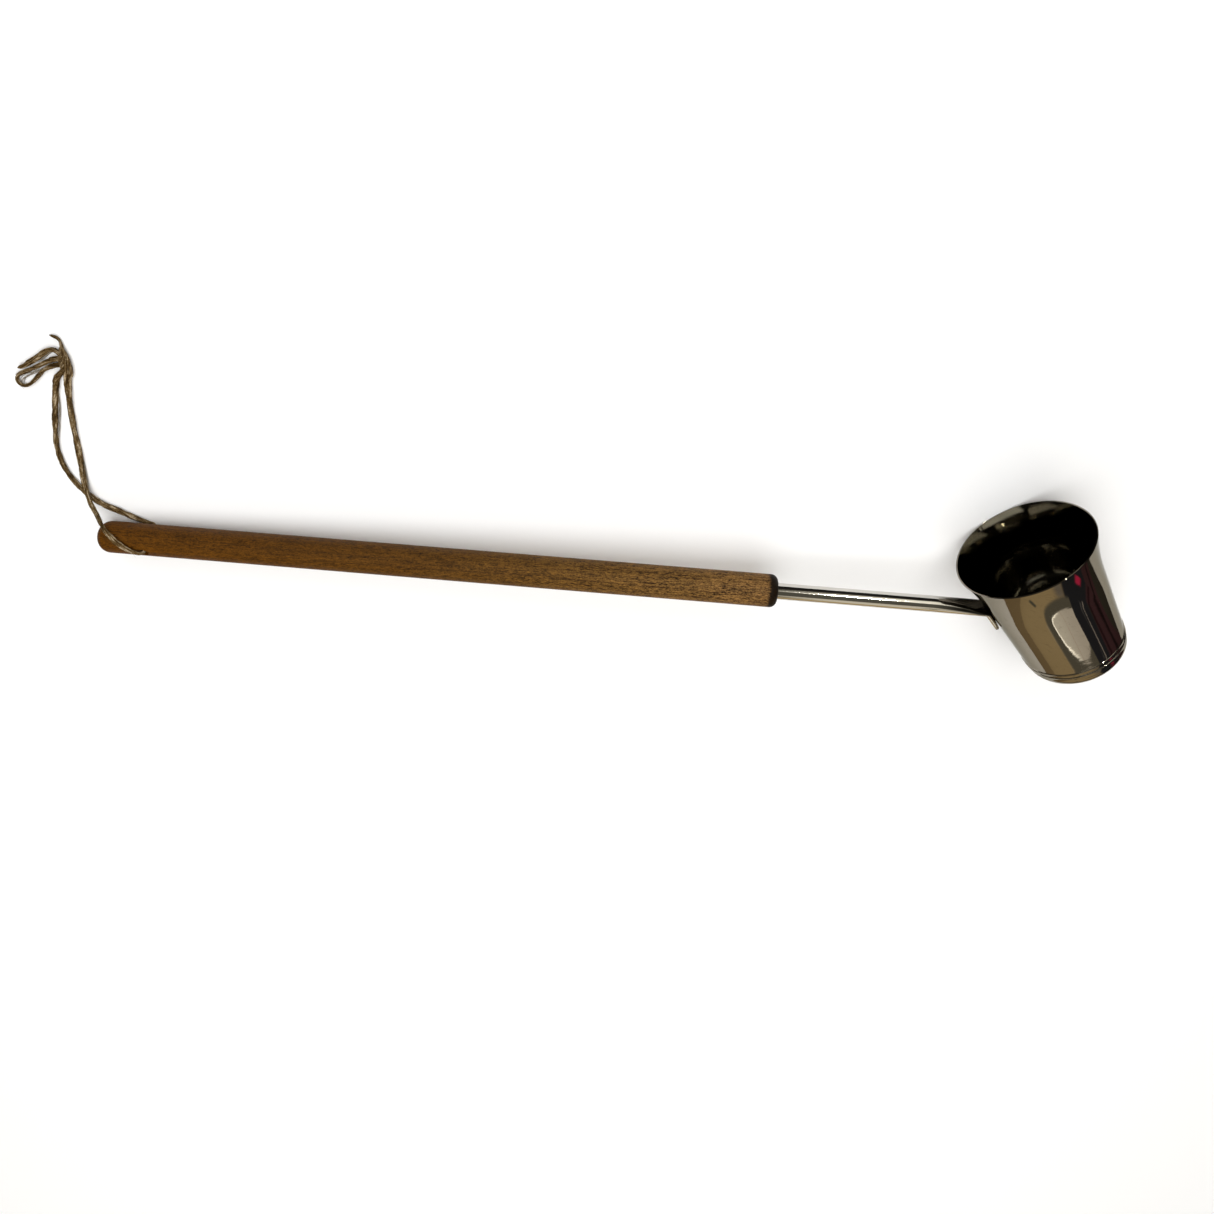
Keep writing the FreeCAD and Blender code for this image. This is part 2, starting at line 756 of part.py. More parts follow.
BOW_LOOP = on_floor(
    (-28.6, 88.2, 1.3),
    (-31.9, 87.9, 1.25),
    (-35.3, 86.5, 1.25),
    (-39.6, 84.4, 1.25),
    (-44.2, 82.3, 1.25),
    (-48.2, 80.7, 1.25),
    (-51.5, 79.0, 1.25),
    (-52.3, 76.9, 1.25),
    (-51.4, 74.8, 1.25),
    (-49.3, 73.9, 1.25),
    (-46.5, 75.0, 1.25),
    (-43.6, 77.3, 1.25),
    (-40.8, 79.9, 1.25),
    (-37.9, 82.5, 1.25),
    (-34.9, 83.9, 1.25),
    (-31.8, 85.0, 1.25),
    (-28.8, 85.3, 1.3),
)
BOW_END = on_floor(
    (-27.2, 89.8, 2.6),
    (-29.0, 91.7, 2.1),
    (-32.0, 92.5, 1.5),
    (-35.0, 91.3, 1.25),
    (-38.2, 89.1, 1.25),
    (-41.7, 86.9, 1.25),
    (-45.3, 84.8, 1.25),
    (-49.8, 82.7, 1.25),
)
TAIL = on_floor(
    (-26.8, 91.0, 2.0),
    (-27.0, 93.9, 1.4),
    (-27.4, 96.3, 0.85),
    (-28.9, 98.2, 0.85),
    (-31.8, 98.8, 0.85),
)

knot = doc.addObject("PartDesign::Body", "twine_knot")
knot.Label = "twine_knot"


def draw_knot_outline():
    """A rectangle about the knot's middle."""
    across, along = size("knot_width") / 2, size("knot_length") / 2
    corners = [V(-across, -along), V(across, -along), V(across, along), V(-across, along)]
    sketch = sketch_on(knot, "knot_outline", "XY_Plane")
    add_chain(
        sketch,
        [Part.LineSegment(corners[side - 1], corners[side]) for side in range(4)],
        [(side, 2, (side + 1) % 4, 1, False) for side in range(4)],
    )
    for side in (1, 3):
        sketch.addConstraint(Sketcher.Constraint("Horizontal", side))
    for side in (0, 2):
        sketch.addConstraint(Sketcher.Constraint("Vertical", side))
    sketch.addConstraint(Sketcher.Constraint("Symmetric", 1, 1, 2, 2, -1, 1))
    bind(
        sketch,
        "width",
        Sketcher.Constraint("DistanceX", 1, 1, 1, 2, size("knot_width")),
        "sizes.knot_width",
    )
    bind(
        sketch,
        "length",
        Sketcher.Constraint("DistanceY", 2, 1, 2, 2, size("knot_length")),
        "sizes.knot_length",
    )
    return sketch


knot_block = knot.newObject("PartDesign::Pad", "knot_block")
knot_block.Profile = draw_knot_outline()
knot_block.setExpression("Length", "sizes.knot_height")
doc.recompute()
knot_rounding = knot.newObject("PartDesign::Fillet", "knot_rounding")
knot_rounding.Base = (
    knot_block,
    [f"Edge{number}" for number in range(1, len(knot_block.Shape.Edges) + 1)],
)
knot_rounding.setExpression("Radius", "sizes.knot_rounding")
knot_spot = FreeCAD.Placement(V(-26.8, 87.1, 0), FreeCAD.Rotation(Z_AXIS, 6))
knot.Placement = twine_place.multiply(knot_spot)
doc.recompute()


def cord_route(points):
    """Straight runs joined by tangent arcs, and the arcs' radii."""
    edges, radii = [], []
    start = points[0]
    for before, corner, after in zip(points, points[1:], points[2:]):
        back, on = before - corner, after - corner
        reach = 0.45 * min(back.Length, on.Length)
        half_turn = (math.pi - back.getAngle(on)) / 2
        radius = reach / math.tan(half_turn)
        back.normalize()
        on.normalize()
        inwards = (back + on).normalize()
        middle = corner + inwards * (radius / math.cos(half_turn) - radius)
        entry, leave = corner + back * reach, corner + on * reach
        edges.append(Part.makeLine(start, entry))
        edges.append(Part.Arc(entry, middle, leave).toShape())
        radii.append(radius)
        start = leave
    edges.append(Part.makeLine(start, points[-1]))
    return Part.Wire(edges), radii


def add_cord(name, points, diameter):
    """A length of twine along its points, ending where it meets the knot."""
    route, radii = cord_route(points)
    section = Part.Wire(Part.makeCircle(diameter / 2, points[0], points[1] - points[0]))
    tube = route.makePipeShell([section], True, False)
    drawn = math.pi * diameter**2 / 4 * route.Length
    if abs(tube.Volume / drawn - 1) > 0.01:
        raise RuntimeError(f"{name} has a volume of {tube.Volume}, not {drawn}")
    print(f"{name}: {route.Length:.1f} mm, radii", *(f"{radius:.1f}" for radius in radii))
    knot_here = knot.Shape.copy()
    knot_here.Placement = knot_spot
    cord = doc.addObject("Part::Feature", name)
    cord.Label = name
    cord.Shape = max(tube.cut(knot_here).Solids, key=lambda solid: solid.Volume)
    cord.Placement = twine_place
    return cord


pieces = [
    handle,
    stem,
    cup,
    knot,
    add_cord("twine_front_strand", FRONT_STRAND, size("twine_diameter")),
    add_cord("twine_back_strand", BACK_STRAND, size("twine_diameter")),
    add_cord("twine_bow_loop", BOW_LOOP, size("bow_twine_diameter")),
    add_cord("twine_bow_end", BOW_END, size("bow_twine_diameter")),
    add_cord("twine_tail", TAIL, size("tail_diameter")),
]
doc.recompute()

# Check every object, then write each piece to its own file
for item in doc.Objects:
    if {"Invalid", "Error"} & set(item.State):
        raise RuntimeError(f"{item.Name} has failed: {item.State}")
os.makedirs("parts", exist_ok=True)
for piece in pieces:
    shape = piece.Shape
    if shape.isNull() or not shape.isValid():
        raise RuntimeError(f"{piece.Label} has no valid shape")
    shape.exportStep(f"parts/{piece.Label}.step")
    box = shape.optimalBoundingBox(False)
    print(
        f"{piece.Label}: {len(shape.Solids)} solid, {shape.Volume:.1f} mm3,"
        f" X {box.XMin:.2f} {box.XMax:.2f}, Y {box.YMin:.2f} {box.YMax:.2f},"
        f" Z {box.ZMin:.2f} {box.ZMax:.2f}"
    )
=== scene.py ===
"""Sauna ladle, dressed: a turned beech handle, a steel tube pressed flat at its end, a drawn
steel cup, and a jute twine tied in a bow. It lies on a pale studio floor."""

import logging
import math
from dataclasses import dataclass, field
from enum import Enum
from random import Random
from typing import Sequence, Union

import bmesh
import bpy
from mathutils import Matrix, Vector, noise

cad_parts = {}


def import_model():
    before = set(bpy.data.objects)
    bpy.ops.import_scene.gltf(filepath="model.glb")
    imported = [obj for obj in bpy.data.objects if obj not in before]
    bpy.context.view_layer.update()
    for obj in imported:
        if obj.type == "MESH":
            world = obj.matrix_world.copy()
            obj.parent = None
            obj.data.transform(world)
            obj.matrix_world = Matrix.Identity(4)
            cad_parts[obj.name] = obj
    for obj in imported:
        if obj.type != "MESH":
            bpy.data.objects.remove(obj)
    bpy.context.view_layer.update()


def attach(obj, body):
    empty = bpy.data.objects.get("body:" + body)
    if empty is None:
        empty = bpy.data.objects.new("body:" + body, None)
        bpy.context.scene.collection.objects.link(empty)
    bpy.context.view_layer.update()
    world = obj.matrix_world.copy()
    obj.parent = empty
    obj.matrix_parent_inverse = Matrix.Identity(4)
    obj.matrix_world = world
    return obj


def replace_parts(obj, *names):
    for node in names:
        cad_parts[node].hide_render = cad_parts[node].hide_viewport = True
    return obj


MM = 0.001
DEGREES = 180 / math.pi
BODY = "root"
Colour = tuple[float, float, float]
Value = Union["Wire", float]

# The ladle's own frame, with X along the handle from its far end, as it lies on the floor (mm)
LYING = Matrix(
    (
        (0.99928459, 0.03730045, -0.00624314, -250.2342),
        (0.0, 0.16507799, 0.98628052, -10.5714),
        (0.03781931, -0.98557493, 0.16495989, 7.7902),
        (0.0, 0.0, 0.0, 1.0),
    )
)
TO_METRES = Matrix.Scale(MM, 4)
TWINE_HOLE = Vector((-225.752, -10.571, 8.717))

log = logging.getLogger("sauna_ladle")


class Slot(Enum):
    """The record's material slots."""

    BEECH = "beech"
    STEEL = "polished_steel"
    JUTE = "jute"


# Shader maths


class Wire:
    """One output in a node tree. Python's operators on it add its Math nodes."""

    def __init__(self, graph: "Graph", socket: bpy.types.NodeSocket) -> None:
        """Wrap an output socket.

        Args:
            graph: The tree that it belongs to.
            socket: The output.
        """
        self.graph = graph
        self.socket = socket

    def __add__(self, other: Value) -> "Wire":
        """Sum."""
        return self.graph.math("ADD", self, other)

    def __radd__(self, other: Value) -> "Wire":
        """Sum, with the number first."""
        return self.graph.math("ADD", other, self)

    def __sub__(self, other: Value) -> "Wire":
        """Difference."""
        return self.graph.math("SUBTRACT", self, other)

    def __rsub__(self, other: Value) -> "Wire":
        """Difference, with the number first."""
        return self.graph.math("SUBTRACT", other, self)

    def __mul__(self, other: Value) -> "Wire":
        """Product."""
        return self.graph.math("MULTIPLY", self, other)

    def __rmul__(self, other: Value) -> "Wire":
        """Product, with the number first."""
        return self.graph.math("MULTIPLY", other, self)

    def __truediv__(self, other: Value) -> "Wire":
        """Quotient."""
        return self.graph.math("DIVIDE", self, other)

    def __pow__(self, other: Value) -> "Wire":
        """Power."""
        return self.graph.math("POWER", self, other)

    def __abs__(self) -> "Wire":
        """Size without its sign."""
        return self.graph.math("ABSOLUTE", self)


class Graph:
    """A node tree that is written as expressions."""

    def __init__(self, tree: bpy.types.NodeTree) -> None:
        """Start with an empty tree.

        Args:
            tree: The tree of a material or of the world.
        """
        self.tree = tree
        tree.nodes.clear()

    def node(
        self, kind: str, settings: dict | None = None, inputs: dict | None = None
    ) -> bpy.types.Node:
        """Add a node.

        Args:
            kind: The node's type.
            settings: Its own settings; "stops" are a ramp's positions and colours.
            inputs: Values or wires, by the socket's name or number.

        Returns:
            The node.
        """
        made = self.tree.nodes.new(kind)
        for name, value in (settings or {}).items():
            if name == "stops":
                elements = made.color_ramp.elements
                while len(elements) < len(value):
                    elements.new(0.5)
                for element, (position, colour) in zip(elements, value):
                    element.position = position
                    element.color = (*colour, 1.0)
            else:
                setattr(made, name, value)
        for name, value in (inputs or {}).items():
            socket = made.inputs[name]
            if isinstance(value, Wire):
                self.tree.links.new(value.socket, socket)
            elif isinstance(value, tuple) and len(value) == 3 and socket.type == "RGBA":
                socket.default_value = (*value, 1.0)
            else:
                socket.default_value = value
        return made

    def out(
        self,
        kind: str,
        output: str | int,
        settings: dict | None = None,
        inputs: dict | None = None,
    ) -> Wire:
        """Add a node and return one of its outputs.

        Args:
            kind: The node's type.
            output: The output's name or number.
            settings: Its own settings.
            inputs: Values or wires, by the socket's name or number.

        Returns:
            The output.
        """
        return Wire(self, self.node(kind, settings, inputs).outputs[output])

    def math(self, operation: str, *values: Value) -> Wire:
        """Add a Math node.

        Args:
            operation: What it works out.
            values: Numbers or wires.

        Returns:
            The result.
        """
        return self.out("ShaderNodeMath", 0, {"operation": operation}, dict(enumerate(values)))

    def smooth(self, value: Value, low: float, high: float) -> Wire:
        """A soft step from 0 at low to 1 at high.

        Args:
            value: What is compared.
            low: Where the step starts.
            high: Where it ends; below low, the step falls.

        Returns:
            The step.
        """
        rising = low < high
        ends = (low, high) if rising else (high, low)
        step = self.out(
            "ShaderNodeMapRange",
            0,
            {"interpolation_type": "SMOOTHSTEP"},
            {"Value": value, "From Min": ends[0], "From Max": ends[1]},
        )
        return step if rising else 1 - step

    def vector(self, x: Value, y: Value, z: Value) -> Wire:
        """A vector from its three parts."""
        return self.out("ShaderNodeCombineXYZ", 0, None, {0: x, 1: y, 2: z})

    def parts(self, vector: Wire) -> tuple[Wire, Wire, Wire]:
        """Split a vector.

        Args:
            vector: The vector.

        Returns:
            Its three parts.
        """
        split = self.node("ShaderNodeSeparateXYZ", None, {0: vector})
        x, y, z = (Wire(self, socket) for socket in split.outputs)
        return x, y, z

    def noise(
        self, place: tuple[Value, Value, Value], detail: float = 3.0, roughness: float = 0.55
    ) -> Wire:
        """Smooth noise from 0 to 1.

        Args:
            place: Where it is read.
            detail: How many finer layers it has.
            roughness: How strong these are.

        Returns:
            The noise.
        """
        where = self.vector(*place)
        return self.out(
            "ShaderNodeTexNoise",
            0,
            None,
            {"Vector": where, "Scale": 1.0, "Detail": detail, "Roughness": roughness},
        )

    def ramp(self, factor: Wire, *stops: tuple[float, Colour]) -> Wire:
        """A colour ramp.

        Args:
            factor: Where on the ramp.
            stops: Positions and colours.

        Returns:
            The colour.
        """
        return self.out("ShaderNodeValToRGB", 0, {"stops": stops}, {0: factor})

    def mix(
        self, factor: Value, first: Wire | Colour, second: Wire | Colour, blend: str = "MIX"
    ) -> Wire:
        """Mix two colours.

        Args:
            factor: How much of the second.
            first: A colour.
            second: A colour.
            blend: The way of mixing.

        Returns:
            The mixed colour.
        """
        return self.out(
            "ShaderNodeMix",
            2,
            {"data_type": "RGBA", "blend_type": blend, "clamp_factor": True},
            {0: factor, 6: first, 7: second},
        )

    def glow(self, colour: Wire | Colour) -> bpy.types.Node:
        """A shader that glows in a colour."""
        return self.node("ShaderNodeEmission", None, {"Color": colour, "Strength": 1.0})

    def choose(
        self, factor: Wire, first: bpy.types.Node, second: bpy.types.Node
    ) -> bpy.types.Node:
        """Mix two shaders.

        Args:
            factor: How much of the second.
            first: A shader.
            second: A shader.

        Returns:
            The mixed shader.
        """
        both = self.node("ShaderNodeMixShader", None, {0: factor})
        self.tree.links.new(first.outputs[0], both.inputs[1])
        self.tree.links.new(second.outputs[0], both.inputs[2])
        return both

    def close(self, shader: bpy.types.Node, kind: str = "ShaderNodeOutputMaterial") -> None:
        """Join the last shader to the tree's output.

        Args:
            shader: The last shader.
            kind: The output's type.
        """
        self.tree.links.new(shader.outputs[0], self.node(kind).inputs[0])

    def surface(
        self, name: str, slot_inputs: dict, height: Wire, strength: float, distance: float
    ) -> None:
        """Close a material's tree with a Principled shader.

        Args:
            name: What the shader node is called.
            slot_inputs: The shader's inputs.
            height: The bump's height.
            strength: The bump's strength.
            distance: The bump's distance in metres.
        """
        bump = {"Height": height, "Strength": strength, "Distance": distance}
        normal = self.out("ShaderNodeBump", 0, None, bump)
        inputs = {**slot_inputs, "Normal": normal}
        self.close(self.node("ShaderNodeBsdfPrincipled", {"label": name}, inputs))


def new_material(name: str) -> tuple[bpy.types.Material, Graph]:
    """Start a material.

    Args:
        name: Its name.

    Returns:
        The material, and its tree with no nodes in it.
    """
    material = bpy.data.materials.new(name)
    material.use_nodes = True
    return material, Graph(material.node_tree)


def point_in(graph: Graph, place: Matrix) -> tuple[Wire, Wire, Wire]:
    """The shaded point in a piece's own frame, in millimetres.

    Args:
        graph: The material's tree.
        place: The frame's place in the room.

    Returns:
        Its three distances: X runs along the handle in the ladle's frame.
    """
    turned_back = place.to_3x3().inverted().to_4x4()
    start = -(turned_back @ place.translation)
    point = graph.out("ShaderNodeTexCoord", "Object")
    laid = graph.out(
        "ShaderNodeMapping",
        0,
        {"vector_type": "POINT"},
        {
            "Vector": point,
            "Scale": (1 / MM,) * 3,
            "Rotation": tuple(turned_back.to_euler("XYZ")),
            "Location": tuple(start),
        },
    )
    return graph.parts(laid)


@dataclass(frozen=True)
class BeechFinish:
    """Oiled beech that has darkened and reddened towards the hand's end."""

    length: float = 336.3
    stops: tuple[tuple[float, Colour], ...] = (
        (0.00, (0.085, 0.0300, 0.0014)),
        (0.30, (0.083, 0.0325, 0.0032)),
        (0.50, (0.084, 0.0355, 0.0048)),
        (0.72, (0.114, 0.0555, 0.0115)),
        (0.86, (0.131, 0.0670, 0.0175)),
        (1.00, (0.155, 0.0800, 0.0250)),
    )
    line: Colour = (0.036, 0.015, 0.0035)
    # Near-black: the end grain's colour, darkened further to stand in for painted shade at the near
    # end.
    end_grain_and_shade: Colour = (0.005, 0.0025, 0.001)
    rings: tuple[tuple[float, float, float, float], ...] = (
        (225.0, 338.0, 22.9, 13.3),
        (236.0, 300.0, 70.0, 66.0),
        (236.0, 338.0, -7.0, -11.0),
        (40.0, 150.0, 48.0, 41.0),
        (110.0, 235.0, 10.0, 24.0),
    )
    fleck: tuple[float, float] = (322.5, 72.4)

    def build(self) -> bpy.types.Material:
        """Make the material.

        Returns:
            Beech with fine pores, short dark streaks and a few long year rings along the handle.
        """
        material, graph = new_material("beech")
        x, y, z = point_in(graph, LYING)
        blotch = graph.noise((x * 0.05, y * 0.16, z * 0.16), 3.0, 0.6)
        drift = (blotch - 0.5) * 1.4
        bands = graph.noise((x * 0.016, y * 0.50 + drift, z * 0.50), 2.0, 0.6)
        grain = graph.noise((x * 0.075, y * 1.05 + drift, z * 1.05 - drift), 3.0, 0.62)
        pores = graph.noise((x * 0.34, y * 2.1, z * 2.1), 3.0, 0.65)
        speckle = graph.noise((x * 1.1, y * 2.2, z * 2.2), 2.0, 0.6)

        share = x / self.length + (blotch - 0.5) * 0.16
        wood = graph.ramp(share, *self.stops)
        depth = 0.55 + 0.45 * graph.smooth(x, 120.0, 330.0)
        tone = (bands - 0.5) * 0.8 + (grain - 0.5) * 2.0
        tone = 1.03 + (tone + (pores - 0.5) * 4.8 + (speckle - 0.5) * 4.4) * depth
        wood = graph.mix(1.0, wood, graph.vector(tone, tone * 0.99, tone * 0.97), "MULTIPLY")
        streak = graph.smooth(grain, 0.46, 0.32) * graph.smooth(pores, 0.60, 0.42)
        wood = graph.mix(streak * depth * 0.80, wood, self.line)
        around = graph.math("ARCTAN2", z, y * -1.0) * DEGREES
        rings = self.year_rings(graph, x, around, blotch, pores)
        wood = graph.mix(rings * depth, wood, self.line)
        aside = around - self.fleck[1]
        fleck = (x - self.fleck[0] - aside * 0.10) ** 2 * 1.1 + (aside * 0.14) ** 2 * 4.0
        fleck = graph.smooth(fleck + (speckle - 0.5) * 1.6, 1.1, 0.5) * 0.85
        wood = graph.mix(fleck, wood, self.end_grain_and_shade)

        # A ragged near-black band on the near end's rounding, where the tube goes in: partly the
        # darker end grain, partly painted shade.
        ragged = x + (pores - 0.5) * 6.5 + (speckle - 0.5) * 3.0 + (grain - 0.5) * 2.5
        near = graph.smooth(ragged, self.length - 4.7, self.length - 3.9)
        wood = graph.mix(near * 0.97, wood, self.end_grain_and_shade)
        # The far tip is darkened with the same colour.
        far = graph.smooth(ragged, 2.4, 0.2)
        wood = graph.mix(far * 0.72, wood, self.end_grain_and_shade)

        graph.surface(
            "oiled beech",
            {
                "Base Color": wood,
                "Roughness": 0.60 + (pores - 0.5) * 0.20,
                "IOR": 1.45,
                "Specular IOR Level": 0.12,
            },
            pores * 0.6 + grain * 0.7 + speckle * 0.3,
            0.5,
            0.25 * MM,
        )
        return material

    def year_rings(
        self, graph: Graph, x: Wire, around: Wire, blotch: Wire, pores: Wire
    ) -> Wire:
        """Where the long dark lines of the wood's year rings run.

        Args:
            graph: The material's tree.
            x: The distance from the far end.
            around: The angle round the handle, in degrees.
            blotch: Slow noise, which bends the lines.
            pores: Fine noise, which breaks them up.

        Returns:
            How dark the line is, from 0 to 1.
        """
        bent = around + (blotch - 0.5) * 9.0
        found: Wire | None = None
        for start, end, first, last in self.rings:
            middle = (x - start) * ((last - first) / (end - start)) + first
            line = graph.smooth(abs(bent - middle), 2.9, 0.7)
            line = line * graph.smooth(x, start - 8.0, start + 12.0)
            line = line * graph.smooth(x, end + 8.0, end - 12.0)
            found = line if found is None else graph.math("MAXIMUM", found, line)
        return found * graph.smooth(pores, 0.68, 0.42) * 0.95


@dataclass(frozen=True)
class SteelFinish:
    """Polished stainless steel with fine handling marks."""

    name: str
    colour: Colour
    roughness: float
    place: Matrix
    grooves: float = 0.0
    brushing: float = 0.0
    smudges: float = 0.0
    unevenness: float = 0.05
    # Where a near-black painted reflection starts along X, on the upper side; 0 leaves it out.
    dark_reflection_from: float = 0.0
    edge_tint: Colour = (1.0, 1.0, 1.0)

    def build(self) -> bpy.types.Material:
        """Make the material.

        Returns:
            Steel whose gloss is uneven, as polishing and use leave it; spun grooves run round
            the frame's Z axis, brushing runs along it, and from a distance along X its upper side
            is darkened almost to black, a painted reflection of something dark.
        """
        material, graph = new_material(self.name)
        x, y, z = point_in(graph, self.place)
        haze = graph.noise((x * 0.05, y * 0.12, z * 0.12), 4.0, 0.6)
        fine = graph.noise((x * 0.7, y * 0.7, z * 0.7), 3.0, 0.7)
        marks = graph.smooth(graph.noise((x * 1.6, y * 1.6, z * 0.3), 2.0), 0.66, 0.73)
        tone = 0.93 + haze * 0.10 + (fine - 0.5) * 0.06
        if self.smudges:
            slanted = (x * 0.5 + z * 0.35, y * 0.5, z * 0.12 - x * 0.10)
            rubbed = graph.noise(slanted, 4.0, 0.7)
            spots = graph.noise((x * 0.45, y * 0.45, z * 0.5), 4.0, 0.75)
            worn = graph.smooth(rubbed, 0.56, 0.70) + graph.smooth(spots, 0.58, 0.72)
            tone = tone - worn * self.smudges
        colour = graph.mix(1.0, self.colour, graph.vector(tone, tone, tone), "MULTIPLY")
        # Painted reflection: from this distance along X, the upper side (+Z) turns almost black, as
        # if it mirrored something dark.
        if self.dark_reflection_from:
            dark_reflection = graph.smooth(x + (haze - 0.5) * 6, self.dark_reflection_from, self.dark_reflection_from + 17.0)
            dark_reflection = dark_reflection * graph.smooth(z, -0.6, 0.9)
            colour = graph.mix(dark_reflection * 0.95, colour, (0.032, 0.028, 0.019))
        height = haze * self.unevenness + fine * (self.unevenness * 0.08)
        if self.grooves:
            turned = graph.noise((x * 0.03, y * 0.03, z * 5.0), 3.0, 0.8)
            height = height + turned * self.grooves
        if self.brushing:
            drawn = graph.noise((x * 2.1, y * 2.1, z * 0.05), 3.0, 0.7)
            height = height + drawn * self.brushing
        graph.surface(
            "polished steel",
            {
                "Base Color": colour,
                "Metallic": 1.0,
                "Specular Tint": (*self.edge_tint, 1.0),
                "Roughness": self.roughness + haze * 0.03 + marks * 0.05,
            },
            height,
            1.0,
            MM,
        )
        return material


@dataclass(frozen=True)
class JuteFinish:
    """Natural jute: coarse twisted fibres whose tone varies at random, from a dark painted shade
    through the jute's browns to pale painted highlight speckles.
    """

    name: str = "jute"
    shade: Colour = (0.030, 0.015, 0.003)
    body: Colour = (0.100, 0.058, 0.019)
    light: Colour = (0.185, 0.126, 0.060)
    # Pale painted highlight speckles, which the noise places at random.
    crown: Colour = (0.48, 0.38, 0.25)

    def build(self) -> bpy.types.Material:
        """Make the material.

        Returns:
            Jute whose fibres run along each ply's own UV map, in millimetres.
        """
        material, graph = new_material(self.name)
        along, around, _ = graph.parts(graph.out("ShaderNodeUVMap", 0, {"uv_map": "ply"}))
        turn = (around + along * 0.035) * math.tau
        across, up = graph.math("COSINE", turn), graph.math("SINE", turn)
        shift = graph.math("FLOOR", around) * 3.7
        bundles = graph.noise((along * 0.13 + shift, across * 1.15, up * 1.15), 2.0, 0.55)
        fibres = graph.noise((along * 0.22 + shift, across * 2.3, up * 2.3), 3.0, 0.65)
        patches = graph.noise((along * 0.11 + shift, across * 0.3, up * 0.3), 3.0, 0.6)
        speckle = graph.noise((along * 0.95 + shift, across * 1.1, up * 1.1), 2.0, 0.6)
        tone = (bundles - 0.5) * 1.9 + (fibres - 0.5) * 1.5
        tone = tone + (patches - 0.5) * 1.3 + (speckle - 0.5) * 0.9 + 0.5
        # The darkest stop is painted shade and the palest, crown, is painted highlight speckles; the
        # noise places both at random.
        colour = graph.ramp(
            tone, (0.14, self.shade), (0.45, self.body), (0.70, self.light), (0.96, self.crown)
        )
        graph.surface(
            "jute",
            {
                "Base Color": colour,
                "Roughness": 0.85,
                "IOR": 1.4,
                "Specular IOR Level": 0.15,
            },
            fibres + bundles * 1.2,
            1.0,
            0.4 * MM,
        )
        return material


@dataclass(frozen=True)
class FloorFinish:
    """A matt white sheet on the studio's floor; glossy rays see a painted reflection of a dim room
    past its edge (metres).
    """

    colour: Colour = (0.965, 0.965, 0.97)
    middle: tuple[float, float] = (-0.08, -0.062)
    half: tuple[float, float] = (0.425, 0.128)
    rounding: float = 0.06
    eye: tuple[float, float] = (0.20, -0.01)

    def build(self, screens: Sequence["Screen"], wall: Colour) -> bpy.types.Material:
        """Make the material.

        Args:
            screens: The studio's surroundings.
            wall: The colour between them.

        Returns:
            Matt white; past the sheet's rounded edge, glossy rays see it glow with a painted
            reflection of the dim room.
        """
        material, graph = new_material("studio_floor")
        x, y, _ = graph.parts(graph.out("ShaderNodeTexCoord", "Object"))
        past = rounded_box(graph, x - self.middle[0], y - self.middle[1], self.half, self.rounding)
        azimuth = graph.math("ARCTAN2", y - self.eye[1], x - self.eye[0]) * DEGREES
        room = paint(graph, azimuth, -8.0, screens, wall)
        sheet = graph.node(
            "ShaderNodeBsdfPrincipled",
            None,
            {"Base Color": self.colour, "Roughness": 0.95, "Specular IOR Level": 0.1},
        )
        # Painted reflection: only to glossy rays, the floor past the rounded box glows with the dim
        # room's colours.
        mirrored = graph.out("ShaderNodeLightPath", "Is Glossy Ray")
        beyond = mirrored * graph.smooth(past, -0.006, 0.010)
        graph.close(graph.choose(beyond, sheet, graph.glow(room)))
        return material


@dataclass(frozen=True)
class CardFinish:
    """The glowing panel that the cup's side mirrors: a painted reflection of a pale patch, a bright
    edge, a red line and a dim frame (metres, from its middle).
    """

    pale: Colour = (1.12, 1.06, 0.90)
    shaded: Colour = (0.86, 0.78, 0.66)
    edge_light: Colour = (3.6, 3.5, 3.1)
    frame: Colour = (0.17, 0.155, 0.115)
    # A thin reddish line on the panel, which the cup's side shows as a painted reflection.
    reflected_red_line: Colour = (0.62, 0.36, 0.27)
    dark: Colour = (0.030, 0.031, 0.036)
    middle: tuple[float, float] = (0.054, 0.277)
    half: tuple[float, float] = (0.140, 0.077)
    rounding: float = 0.042
    frame_width: float = 0.050

    def build(self, card: "Card") -> bpy.types.Material:
        """Make the material.

        Args:
            card: Where the panel stands.

        Returns:
            A glowing panel that is see-through outside its frame.
        """
        material, graph = new_material("studio_card")
        x, y, z = graph.parts(graph.out("ShaderNodeTexCoord", "Object"))
        side = card.side()
        u = (x - card.place.x) * side.x + (y - card.place.y) * side.y
        wave = graph.noise((u * 40, z * 40, 0.0), 2.0)
        past = rounded_box(graph, u - self.middle[0], z - self.middle[1], self.half, self.rounding)
        past = past + (wave - 0.5) * 0.0015
        pale = graph.mix(graph.smooth(u, -0.09, 0.09), self.pale, self.shaded)
        line = graph.smooth(abs(u - 0.016 - (z - 0.20) * 0.10), 0.0018, 0.0006)
        # The thin reddish line, a painted reflection in the cup's side.
        pale = graph.mix(line * 0.6, pale, self.reflected_red_line)
        rim = graph.smooth(past, -0.0060, -0.0025) * graph.smooth(u, 0.02, -0.05)
        pale = graph.mix(rim, pale, self.edge_light)
        colour = graph.mix(graph.smooth(past, -0.0015, 0.0020), pale, self.frame)
        colour = graph.mix(graph.smooth(u, 0.111, 0.116), colour, self.dark)
        outside = graph.smooth(past, self.frame_width - 0.014, self.frame_width + 0.002)
        clear = graph.node("ShaderNodeBsdfTransparent")
        graph.close(graph.choose(outside, graph.glow(colour), clear))
        return material


